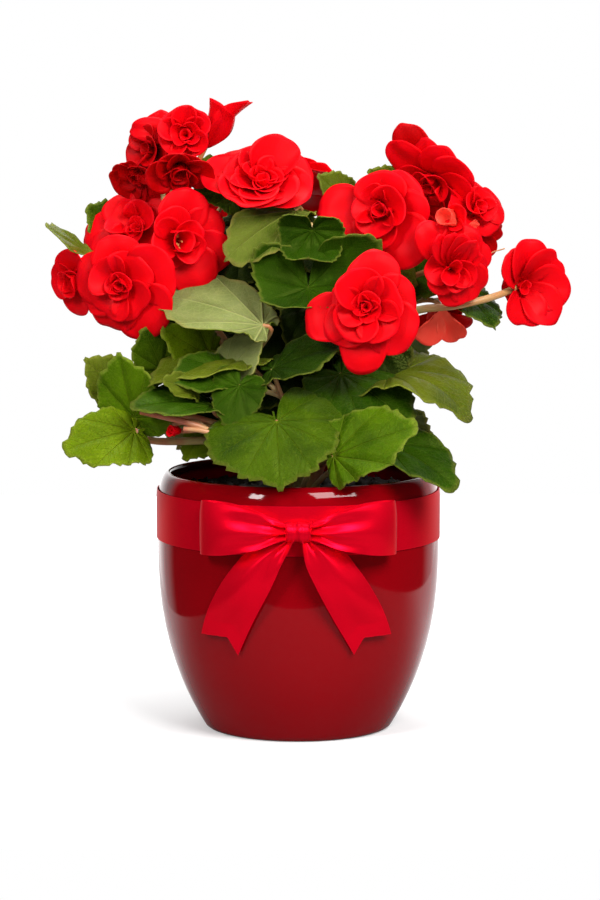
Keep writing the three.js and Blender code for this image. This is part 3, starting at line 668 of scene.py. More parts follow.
def makeTail(node):
    steps = 240
    piece = gridPiece(pieceName(node), 20, 60)
    flat = pointsOf(piece)
    across, along = flat[:, 0], (flat[:, 1] + 1) / 2
    notch = ribbon["notch"]
    side = np.where(across < notch, (notch - across) / (notch + 1), (across - notch) / (1 - notch))
    reach = 1 - 0.095 * (1 - side) * ease((along - 0.3) / 0.5)  # the swallow cut
    outer, inner = (through(rows, steps + 1) for rows in tailEdges[node])
    at = np.round(along * reach * steps).astype(int)
    share = ((across + 1) / 2)[:, None]
    angle, height, stand = (outer[at] * (1 - share) + inner[at] * share).T
    tight = ease((0.3 - along) / 0.28)
    swell = 4.2 * np.sin(math.pi * np.clip(along * 1.15, 0, 1)) * (1 - across**2)
    pleat = (1 - along) ** 2 * 1.5 * np.cos(across * 5.4 + 0.5) + tight * 0.8 * np.cos(across * 12)
    twist = 1.5 * across * np.sin(along * 4.6 + 0.5)
    setPoints(piece, onPot(angle, height, np.maximum(stand + swell + pleat + twist, 0.7)))
    if "right" in node:
        tidyMesh(piece, flip=True)
    finishRibbon(piece, node)


def makeKnot():
    piece = gridPiece("bowKnot", 30, 44)
    flat = pointsOf(piece)
    across, turn = flat[:, 0], flat[:, 1] * math.pi
    side = np.sign(across)
    middle = -ribbon["outside"] - 4.9
    front = ease((np.cos(turn) + 0.4) / 1.2)
    tucked = ease((np.abs(across) - 0.62) / 0.38)  # the edges turn in round the loops
    fold = (0.5 * np.sin(across * 11 + 0.8 * np.sin(turn)) + 0.3 * np.sin(across * 19 + turn)) * (1 - tucked)
    pinch = (1 - 0.08 * np.abs(np.sin(turn))) * (1 - 0.62 * tucked**1.5)
    x = side * np.minimum(np.abs(across) / 0.8, 1) ** 0.9 * 7.3 * (1 - 0.06 * np.cos(turn * 2))
    x = x - side * tucked * 1.2
    y = middle - (4.1 + fold * front) * np.cos(turn) * pinch
    z = 113.3 + (5.4 + 0.6 * fold) * np.sin(turn) * pinch
    setPoints(piece, np.stack([x, y, z], 1))
    tidyMesh(piece, merge=0.00002, outward=True)
    finishRibbon(piece, "bow_knot")


makeBand()
makeKnot()
makeLoop("bow_loop_left", -1)
makeLoop("bow_loop_right", 1)
makeTail("bow_tail_left")
makeTail("bow_tail_right")
print("ribbon tied")


# Stems and stalks

stemPaths = {
    "left": [(-5, -2, 104), (-8, -3, 128), (-14, -6, 148), (-28, -9, 185), (-52, -8, 224), (-66, -4, 256)],
    "centre": [(-2, 2, 104), (-5, 2, 160), (-9, 1, 212), (-22, 2, 262)],
    "right": [(5, -2, 104), (8, -2, 128), (15, -3, 148), (28, -5, 190), (44, -4, 226), (58, 0, 256)],
    "back": [(1, 5, 104), (2, 8, 128), (5, 20, 160), (4, 34, 208), (2, 42, 250)],
    "front": [(0, -5, 104), (0, -8, 127), (-1, -17, 141), (-4, -26, 158), (-8, -31, 178)],
}
stems = {"base": 3.6, "tip": 1.9, "leafStalk": (1.5, 1.1), "bloomStalk": (1.7, 1.35), "steps": 160}


def smoothPath(points, count):  # evenly spaced points on a smooth run through the given ones
    p = np.array(points, float)
    p = np.vstack([2 * p[0] - p[1], p, 2 * p[-1] - p[-2]])
    run = []
    for i in range(1, len(p) - 2):
        d0, d1, d2 = (np.linalg.norm(p[k + 1] - p[k]) ** 0.5 for k in (i - 1, i, i + 1))
        m1 = ((p[i] - p[i - 1]) / d0 - (p[i + 1] - p[i - 1]) / (d0 + d1) + (p[i + 1] - p[i]) / d1) * d1
        m2 = ((p[i + 1] - p[i]) / d1 - (p[i + 2] - p[i]) / (d1 + d2) + (p[i + 2] - p[i + 1]) / d2) * d1
        t = np.linspace(0, 1, 60, endpoint=i == len(p) - 3)[:, None]
        run.append(smoothRun(t, p[i], m1, p[i + 1], m2))
    return evenly(np.vstack(run), count)


def evenly(points, count):
    lengths = np.concatenate([[0], np.cumsum(np.linalg.norm(np.diff(points, axis=0), axis=1))])
    at = np.linspace(0, lengths[-1], count)
    return np.stack([np.interp(at, lengths, points[:, k]) for k in range(3)], 1)


stemLines = {name: smoothPath(path, stems["steps"] + 1) for name, path in stemPaths.items()}


def stalkLine(stem, share, end, arrival):
    line = stemLines[stem]
    k = min(int(round(share * stems["steps"])), stems["steps"] - 1)
    start, tangent = line[k], unit(line[k + 1] - line[k])
    reach = np.linalg.norm(end - start)
    leave = unit(tangent * 0.5 + unit(end - start) * 0.7)
    a, b = start + leave * reach * 0.34, end - arrival * reach * 0.34
    t = np.linspace(0, 1, 60)[:, None]
    return evenly((1 - t) ** 3 * start + 3 * (1 - t) ** 2 * t * a + 3 * (1 - t) * t * t * b + t**3 * end, 18)


# Leaves: where the stalk joins, the tip, the way the upper face looks, the stem and share of it, the tone,
# half widths left and right as shares of the length, bend of the tip and cup of the sides in degrees, ruffle

# A leaf given no tone takes the shade tone, which paints shade into its colour.
def leafRow(at, tip, faces, stem, share, tone="shade", wide=0.6, bend=20, cup=10, wave=0.05, **more):
    left, right = wide if isinstance(wide, tuple) else (wide, wide)
    return dict(at=at, tip=tip, faces=faces, stem=stem, share=share, tone=tone, left=left, right=right,
                bend=bend, cup=cup, wave=wave, **more)


leaves = {
    "leaf_front": leafRow((-11, -60, 167), (-9, -81, 138.5), (0, -0.9, 0.42), "front", 0.8, "mid",
        wide=(0.90, 1.06), bend=30, cup=-20, wave=0.03, shoulders=(0.55, -0.5)),
    "leaf_front_right": leafRow((18, -65, 150), (56, -77, 166.5), (0.1, -0.8, 0.6), "right", 0.2, "fresh",
        wide=(0.44, 0.42), bend=15, cup=-12, shoulders=(0.1, -0.45)),
    "leaf_right_low": leafRow((43, -42, 153), (77, -60, 136.5), (0.35, -0.6, 0.7), "right", 0.3, "deep",
        wide=(0.36, 0.34), bend=40, cup=20, wave=0.06),
    "leaf_right_arch": leafRow((46, -26, 186), (84, -46, 169), (0.35, -0.45, 0.82), "right", 0.5, "olive",
        wide=(0.55, 0.5), bend=80, cup=15, shoulders=(0, -0.3)),
    "leaf_fan": leafRow((5, -36, 233), (4, -54, 224), (0, -0.5, 0.86), "centre", 0.62, "deep",
        wide=(1.7, 1.2), bend=-62, shoulders=(0.3, 0.4)),
    "leaf_cupped": leafRow((7, -32, 262), (5, -46, 248), (0, -0.7, 0.7), "centre", 0.8, "deep", wide=0.74,
        bend=-120, cup=45, shoulders=(0.1, 0.1)),
    "leaf_pale_top": leafRow((-2, -16, 271), (-35, -30, 247), (0.2, 0.55, -0.8), "centre", 0.75, "mid",
        wide=0.3, bend=-30, cup=-20, wave=0.08),
    "leaf_pale_left": leafRow((-18, -40, 214), (-70, -22, 229), (0.1, 0.42, -0.9), "left", 0.5, "mid",
        wide=0.3, bend=-18, cup=-15, shoulders=(-0.4, -0.4), under="pale"),
    "leaf_pale_edge": leafRow((-26, -24, 196), (-71, -46, 185), (-0.1, -0.25, 0.96), "front", 0.95, "olive",
        wide=(0.32, 0.24), bend=30, cup=25, wave=0.04),
    "leaf_round_left": leafRow((-30, -49, 184), (-36, -56, 166), (0.05, -0.92, 0.4), "left", 0.35, "deep",
        wide=0.7, bend=15, wave=0.04),
    "leaf_long_left": leafRow((-44, -46, 174), (-80, -56, 175), (-0.1, -0.36, 0.93), "left", 0.38, "deep",
        wide=0.34, bend=25, wave=0.04),
    "leaf_low_left": leafRow((-83.5, -40, 160), (-117, -50, 152.5), (-0.25, -0.8, 0.5), "left", 0.25,
        "young", wide=(0.56, 0.44), bend=25, cup=-12, shoulders=(-0.4, -0.4), stalk=1.7),
    "leaf_upper_left": leafRow((-84, -34, 166), (-91, -38, 196), (-0.3, -0.85, 0.35), "left", 0.3, "fresh",
        wide=(0.55, 0.62), bend=15, wave=0.04, stalk=1.5),
    "leaf_under_bloom": leafRow((-70, -18, 189), (-78, -28, 209), (-0.1, -0.85, 0.5), "left", 0.6, "mid",
        bend=15, wave=0.04),
    "leaf_dark_centre": leafRow((8, -14, 223), (6, -26, 196), (0, -0.85, 0.5), "centre", 0.6, cup=-10,
        wave=0.04),
    "leaf_two_tone": leafRow((-13, -40, 192), (18, -50, 203), (0.05, -0.55, 0.82), "front", 0.9, "dim",
        wide=(0.34, 0.4)),
    "leaf_far_left": leafRow((-106, 2, 247), (-127, -14, 262), (-0.3, -0.5, 0.8), "left", 0.8, "olive",
        wide=(0.3, 0.35), bend=-20, wave=0.04),
    "leaf_top_left": leafRow((-96, 33, 252), (-110, 22, 270), (-0.4, -0.5, 0.7), "left", 0.85, "mid",
        wide=0.7, bend=30, wave=0.04),
    "leaf_back_top": leafRow((25, 20, 270), (13, 9, 286), (0.1, -0.7, 0.6), "centre", 0.9, "olive",
        wide=(0.5, 0.7), bend=30, wave=0.04),
    "leaf_olive": leafRow((30, -16, 256), (58, -20, 235), (0.3, -0.7, 0.65), "right", 0.7, "olive",
        wide=0.4, cup=-15, wave=0.04),
    "leaf_right_dark": leafRow((85, -8, 229), (99, -24, 213), (0.5, -0.6, 0.6), "right", 0.75, "deep",
        wave=0.04),
    "leaf_side_left": leafRow((-64, 24, 186), (-96, 32, 172), (-0.5, -0.1, 0.85), "left", 0.42, "mid",
        wide=0.65, bend=35),
    "leaf_side_right": leafRow((58, 18, 190), (88, 30, 172), (0.5, 0, 0.85), "right", 0.42, "mid",
        wide=0.65, bend=35),
    "leaf_rear": leafRow((2, 58, 186), (4, 86, 156), (0.05, 0.8, 0.6), "back", 0.5, "mid", wide=0.75,
        bend=30, cup=-10),
    "leaf_rear_left": leafRow((-36, 52, 204), (-66, 72, 188), (-0.4, 0.6, 0.7), "back", 0.6, "deep",
        wide=0.7, bend=35),
    "leaf_rear_right": leafRow((38, 50, 202), (66, 70, 186), (0.45, 0.55, 0.7), "back", 0.55, "fresh",
        wide=0.7, bend=35),
    "leaf_rear_low_left": leafRow((-42, 44, 160), (-64, 66, 142), (-0.5, 0.5, 0.7), "back", 0.3, "mid",
        wide=0.75, bend=30),
    "leaf_rear_low_right": leafRow((42, 42, 160), (66, 60, 142), (0.5, 0.5, 0.7), "back", 0.27, "deep",
        wide=0.75, bend=30),
    # Small leaves and leaves in painted shade, in the scene alone, which fill the crown between the blooms
    "leafDarkLeft": leafRow((-36, -38, 190), (-61, -54, 188), (0, -0.75, 0.65), "left", 0.4, "deep",
        wide=0.42, wave=0.04),
    "leafUnderArch": leafRow((22, -28, 188), (54, -50, 166), (0.1, -0.75, 0.65), "right", 0.42, "deep",
        wide=(0.42, 0.5), bend=25, cup=-12),
    "leafUpperBack": leafRow((-88, -14, 172), (-107, -22, 193), (-0.2, -0.75, 0.6), "left", 0.4, "olive",
        wide=0.5, bend=15, wave=0.04),
    "leafYoung": leafRow((-45, -14, 195), (-66, -30, 210), (0.1, -0.9, 0.3), "left", 0.52, "young",
        wide=0.4, cup=40),
    "leafShadeRight": leafRow((46, 0, 246), (74, -12, 231), (0.1, -0.85, 0.5), "right", 0.7, "deep",
        wide=0.5, wave=0.04),
    "leafTopRight": leafRow((52, 4, 279), (38, -2, 290), (-0.2, -0.85, 0.45), "right", 0.9, "olive",
        wide=0.5, wave=0.04),
    "leafShadeHigh": leafRow((4, 4, 250), (-34, -10, 226), (0, -0.9, 0.45), "centre", 0.7, cup=-10),
    "leafShadeMiddle": leafRow((6, 0, 220), (-22, -18, 197), (0.1, -0.9, 0.4), "centre", 0.55, wide=0.65,
        cup=-10),
    "leafShadeTop": leafRow((-14, 8, 262), (-44, -2, 246), (0, -0.85, 0.5), "centre", 0.85, wide=0.55,
        cup=-10),
    "leafShadeFar": leafRow((14, 6, 256), (42, -8, 238), (0.1, -0.9, 0.4), "right", 0.6, cup=-10),
    "leafShadeLow": leafRow((0, -8, 196), (-36, -24, 180), (0, -0.85, 0.5), "front", 0.7, cup=-10),
    "leafShadeStem": leafRow((16, -6, 198), (46, -18, 180), (0.1, -0.9, 0.4), "right", 0.38, cup=-10),
    "leafBehindCrown": leafRow((-34, 10, 280), (-56, 4, 292), (-0.2, -0.85, 0.5), "left", 0.9, "mid",
        wide=0.5, wave=0.04),
    "leafLowBack": leafRow((-46, -10, 158), (-58, -18, 143), (-0.2, -0.85, 0.5), "left", 0.22, "young",
        wide=0.5, bend=25, cup=-10),
    "leafPaleLobe": leafRow((-38, -30, 186), (-22, -36, 206), (0.1, 0.8, -0.5), "front", 0.97, "mid",
        wide=(0.5, 0.45), bend=-20, cup=-20, wave=0.06, under="pale"),
    "leafShadeLeft": leafRow((-24, -14, 176), (-52, -24, 164), (-0.1, -0.9, 0.4), "left", 0.2, cup=-10),
    "leafShadeFront": leafRow((8, -22, 178), (-14, -34, 156), (0, -0.9, 0.4), "front", 0.5, wide=0.7,
        cup=-10),
    "leafShadeSide": leafRow((-52, 4, 214), (-74, -8, 188), (-0.1, -0.9, 0.4), "left", 0.62, cup=-10),
    "leafShadeArch": leafRow((34, -14, 208), (52, -26, 186), (0.1, -0.9, 0.4), "right", 0.5, cup=-10),
    "leafShadeInner": leafRow((-30, -2, 250), (-47, -12, 228), (0, -0.9, 0.4), "left", 0.8, cup=-10),
    "leafTorn": leafRow((-52, -50, 181), (-67, -57, 188), (0.1, -0.8, 0.6), "left", 0.36, "olive", wide=0.3,
        bend=15, cup=20, wave=0.06),
}
leafShape = {
    "columns": 208,
    "rows": 11,
    "sinus": 172 * degree,
    "teeth": 31,
    "toothDepth": 0.056,
    "lobeDepth": 0.05,
    "veins": (0, 30, 62, 98, 136),  # main veins, in degrees to both sides of the midrib
    "quilt": 0.034,
    "thickness": 0.5,
}
leafTones = {  # dark part, light part, vein
    "deep": ((0.007, 0.028, 0.0005), (0.022, 0.062, 0.001), (0.09, 0.16, 0.010)),
    # dim: a darker copy of the deep green, painted shade for a leaf in shade
    "dim": ((0.004, 0.016, 0.0005), (0.011, 0.034, 0.001), (0.06, 0.11, 0.008)),
    # shade: near-black copies of the leaf greens, painted shade for leaves deep in the crown
    "shade": ((0.002, 0.007, 0.0006), (0.005, 0.014, 0.001), (0.015, 0.03, 0.003)),
    "mid": ((0.009, 0.030, 0.0004), (0.043, 0.086, 0.001), (0.15, 0.22, 0.010)),
    "fresh": ((0.020, 0.056, 0.0004), (0.064, 0.128, 0.001), (0.19, 0.28, 0.014)),
    "young": ((0.050, 0.090, 0.0006), (0.120, 0.185, 0.0015), (0.24, 0.31, 0.015)),
    "olive": ((0.045, 0.066, 0.002), (0.090, 0.115, 0.005), (0.20, 0.22, 0.03)),
}
underTones = {
    "pale": ((0.12, 0.145, 0.037), (0.205, 0.23, 0.073), (0.36, 0.38, 0.13)),
    "sage": ((0.05, 0.075, 0.006), (0.11, 0.14, 0.018), (0.20, 0.22, 0.04)),
}
bladeLook = {
    "leaf": dict(veinWidth=0.016, vein=0.62, rim=(0.26, 0.27, 0.04), rough=0.42, gloss=0.22, bump=0.8),
    "under": dict(veinWidth=0.02, vein=0.6, rim=(0.40, 0.30, 0.08), rough=0.62, gloss=0.05, bump=0.6),
}


# Veins: a main vein where the rib distance is nil, side veins that branch from it, and a fine net
def makeVeins():
    tree, given, result = newGroup(
        "leafVeins", {"Width": 0.014, "Spacing": 0.105, "Net": 0.35}, {"Veins": "Float", "Relief": "Float"})
    ribs = parts(tree, uvPlace(tree, "ribs"))
    rib, along = ribs["X"], ribs["Y"]
    width = maths(tree, "MULTIPLY", given["Width"], ranged(tree, along, 0.0, 1.0, 1.0, 0.22, "LINEAR"))
    main = ranged(tree, rib, 0.0, width, 1.0, 0.0)
    steps = maths(tree, "DIVIDE", maths(tree, "MULTIPLY_ADD", rib, -0.95, along), given["Spacing"])
    off = maths(tree, "ABSOLUTE", maths(tree, "SUBTRACT", maths(tree, "FRACT", steps), 0.5))
    side = maths(tree, "MULTIPLY", ranged(tree, off, 0.0, 0.075, 0.7, 0.0), ranged(tree, along, 0.12, 0.3))
    cells = {"Vector": uvPlace(tree, "blade"), "Scale": 22.0}
    edges = addNode(tree, "TexVoronoi", cells, feature="DISTANCE_TO_EDGE").outputs["Distance"]
    threads = maths(tree, "MULTIPLY", ranged(tree, edges, 0.0, 0.09, 1.0, 0.0), given["Net"])
    fine = maths(tree, "MAXIMUM", maths(tree, "MULTIPLY", side, 0.6), threads)
    folds = maths(tree, "MULTIPLY", maths(tree, "MAXIMUM", side, threads), 0.45)
    plugAll(tree, result, {"Veins": maths(tree, "MAXIMUM", main, fine),
                           "Relief": maths(tree, "MAXIMUM", main, folds)})
    return tree


leafVeins = makeVeins()


def makeLeafMaterial(side, name, tones):
    dark, light, vein = tones
    look = bladeLook[side]
    material, tree = newMaterial(side + name.title())
    veins = placeGroup(tree, leafVeins, Width=look["veinWidth"])
    patches = placeGroup(tree, speckle, Scale=45.0, Detail=5.0, Bump=0.25, Depth=0.0004)
    body = blendColours(tree, ranged(tree, patches["Mask"], 0.24, 0.68), dark, light)
    edge = addNode(tree, "Attribute", attribute_name="rim").outputs["Fac"]
    rimmed = blendColours(tree, maths(tree, "MULTIPLY", edge, 0.4), body, look["rim"])
    bump = bumpOf(tree, look["bump"], 0.0012, veins["Relief"], invert=side == "leaf")
    plug(tree, patches["Normal"], bump.inputs["Normal"])
    shade(tree, {
        "Base Color": blendColours(tree, maths(tree, "MULTIPLY", veins["Veins"], look["vein"]), rimmed, vein),
        "Roughness": look["rough"], "Specular IOR Level": look["gloss"], "Specular Tint": (0.62, 0.75, 0.12),
        "Subsurface Weight": 0.12, "Subsurface Radius": (0.5, 1.0, 0.15), "Subsurface Scale": 0.0012,
        "Normal": bump.outputs[0]})
    return material


leafFinishes = {name: makeLeafMaterial("leaf", name, tones) for name, tones in leafTones.items()}
underFinishes = {name: makeLeafMaterial("under", name, tones) for name, tones in underTones.items()}


def leafReach(angle, leaf):  # from the stalk's joint to the edge, as a share of the length
    turn = np.abs(angle) / math.pi
    side = np.where(angle < 0, leaf["left"], leaf["right"])
    body = mix(1, side, ease(turn / 0.42))
    lobe = 1 - 0.42 * ease((turn - 0.62) / 0.3) - 0.42 * ease((turn - 0.9) / 0.08)
    low, high = leaf.get("shoulders", (0, 0))  # fuller or leaner lobes beside the joint, left and right
    lobe = lobe + np.where(angle < 0, low, high) * ease((turn - 0.45) / 0.3) * (1 - ease((turn - 0.88) / 0.1))
    return body * lobe + 0.08 * np.exp(-((turn / 0.06) ** 2))


def leafFrame(leaf):
    at = np.array(leaf["at"], float)
    chord = np.array(leaf["tip"], float) - at
    half = leaf["bend"] * degree / 2
    size = np.linalg.norm(chord)
    length = size * half / math.sin(half)
    ahead = chord / size
    face = np.array(leaf["faces"], float)
    face = unit(face - ahead * face.dot(ahead))
    y = ahead * math.cos(half) + face * math.sin(half)
    z = face * math.cos(half) - ahead * math.sin(half)
    return at, length, np.cross(y, z), y, z


def rolled(distance, curve):  # along and off the flat, for a sheet rolled to that curve
    return np.sin(curve * distance) / curve, (1 - np.cos(curve * distance)) / curve


veinHalf = [angle * degree for angle in leafShape["veins"]]
veinAngles = np.array(sorted([-angle for angle in veinHalf[1:]] + veinHalf))


def leafColumns():  # column angles, with one on each main vein
    marks = np.concatenate([[-leafShape["sinus"]], veinAngles, [leafShape["sinus"]]])
    each = leafShape["columns"] / (2 * leafShape["sinus"])
    counts = np.maximum(np.round(np.diff(marks) * each).astype(int), 2)
    columns = [np.linspace(a, b, n, endpoint=False) for a, b, n in zip(marks, marks[1:], counts)]
    return np.concatenate(columns + [[leafShape["sinus"]]])


bladeColumns = leafColumns()
bladeGrid = gridPiece("bladeGrid", len(bladeColumns) - 1, leafShape["rows"])
bladeFlat = pointsOf(bladeGrid)


def makeLeaf(name, leaf, *nodes):
    at, length, xAxis, yAxis, zAxis = leafFrame(leaf)
    piece = copyOf(bladeGrid, name)
    column = np.round((bladeFlat[:, 0] + 1) / 2 * (len(bladeColumns) - 1)).astype(int)
    angle = bladeColumns[column]
    share = ((bladeFlat[:, 1] + 1) / 2) ** 0.85
    t = np.abs(angle) / (2 * math.pi) * leafShape["teeth"] + chance(1, length)
    tooth = leafShape["toothDepth"] * (np.mod(t, 1.0) - 0.6)
    tooth = tooth * (0.6 + 0.8 * np.abs(np.sin(np.floor(t) * 2.4 + length)))
    uneven = 0.03 * np.sin(angle * 2 + length * 1.7)
    nearest = np.min(np.abs(angle[:, None] - veinAngles[None, :]), axis=1)
    lobe = leafShape["lobeDepth"] * (np.exp(-((nearest / 0.2) ** 2)) - 0.5)
    edge = 1 + lobe * ease(share / 0.8) + uneven * share + tooth * ease((share - 0.84) / 0.16)
    outline = leafReach(angle, leaf) * edge
    reach = length * outline * share
    x, y = reach * np.sin(angle), reach * np.cos(angle)
    rib = np.sin(np.minimum(nearest, 1.2)) * outline * share
    along = np.cos(nearest) * outline * share
    ry, drop = rolled(y, leaf["bend"] * degree / length)
    rx, rise = rolled(x, leaf["cup"] * degree / length)
    ruffle = leaf["wave"] * length * share**2 * np.sin(3 * angle + length)
    ruffle += 0.35 * leaf["wave"] * length * share**4 * np.sin(11 * angle + length * 2)
    quilt = leafShape["quilt"] * length * np.minimum(rib / 0.09, 1)
    quilt = quilt * (0.4 + 0.6 * np.sin(math.pi * np.clip(share, 0, 1)))
    h = rise - drop + ruffle + quilt - 0.004 * length
    setPoints(piece, at + rx[:, None] * xAxis + ry[:, None] * yAxis + h[:, None] * zAxis)
    rim = piece.data.attributes.new("rim", "FLOAT", "POINT")
    rim.data.foreach_set("value", np.asarray(ease((share - 0.93) / 0.07), np.float32))
    loops = np.empty(len(piece.data.loops), np.int32)
    piece.data.loops.foreach_get("vertex_index", loops)
    for mapName, a, b in (("ribs", rib, along), ("blade", x / length, y / length)):
        layer = piece.data.uv_layers.new(name=mapName)
        layer.data.foreach_set("uv", np.stack([a[loops], b[loops]], 1).astype(np.float32).ravel())
    tidyMesh(piece, merge=0.00001)
    turned = np.empty(len(piece.data.polygons) * 3, np.float32)
    piece.data.polygons.foreach_get("normal", turned)
    if turned.reshape(-1, 3).mean(0) @ zAxis < 0:
        tidyMesh(piece, flip=True)
    piece.data.materials.append(leafFinishes[leaf["tone"]])
    piece.data.materials.append(underFinishes[leaf.get("under", "sage")])
    thicken(piece, leafShape["thickness"], underSlot=1)
    smoothShaded(piece)
    dress(piece, "leaf", *nodes)


def leafStalk(leaf):
    at, _, _, yAxis, zAxis = leafFrame(leaf)
    slope = (60 if leaf["faces"][2] < 0 else 27) * degree
    arrival = zAxis * math.cos(slope) + yAxis * math.sin(slope)
    return stalkLine(leaf["stem"], leaf["share"], at - arrival * 0.25, arrival)


for name, leaf in leaves.items():
    makeLeaf(pieceName(name), leaf, *([name] if "_" in name else []))
bpy.data.objects.remove(bladeGrid)
print("leaves grown:", len(leaves))


# Blooms: visible centre, the way they face, radius, the stem and share of it, and tone. A petal is its turn,
# the angles from the bloom's axis at its foot and its tip, length, half width, cup (0.3 if left out), and a
# tone of its own where it differs. A ring is a count of petals followed by one petal.

def bloomRow(at, faces, radius, stem, share, petals=(), rings=(), tone="bright", **more):
    return dict(at=at, faces=faces, radius=radius, stem=stem, share=share, petals=petals, rings=rings,
                tone=tone, **more)


def heart(size, turn):  # the furled middle
    return [(3, turn, 26, 56, 1.1 * size, 0.85 * size, 0.6),
            (3, turn + 40, 8, 26, 0.78 * size, 0.6 * size, 0.9)]


def fullBloom(radius, turn):
    return [(5, turn, 62, 98, 1.1 * radius, 0.62 * radius, 0.3),
            (5, turn + 36, 48, 82, 0.92 * radius, 0.52 * radius, 0.4)] + heart(0.7 * radius, turn)


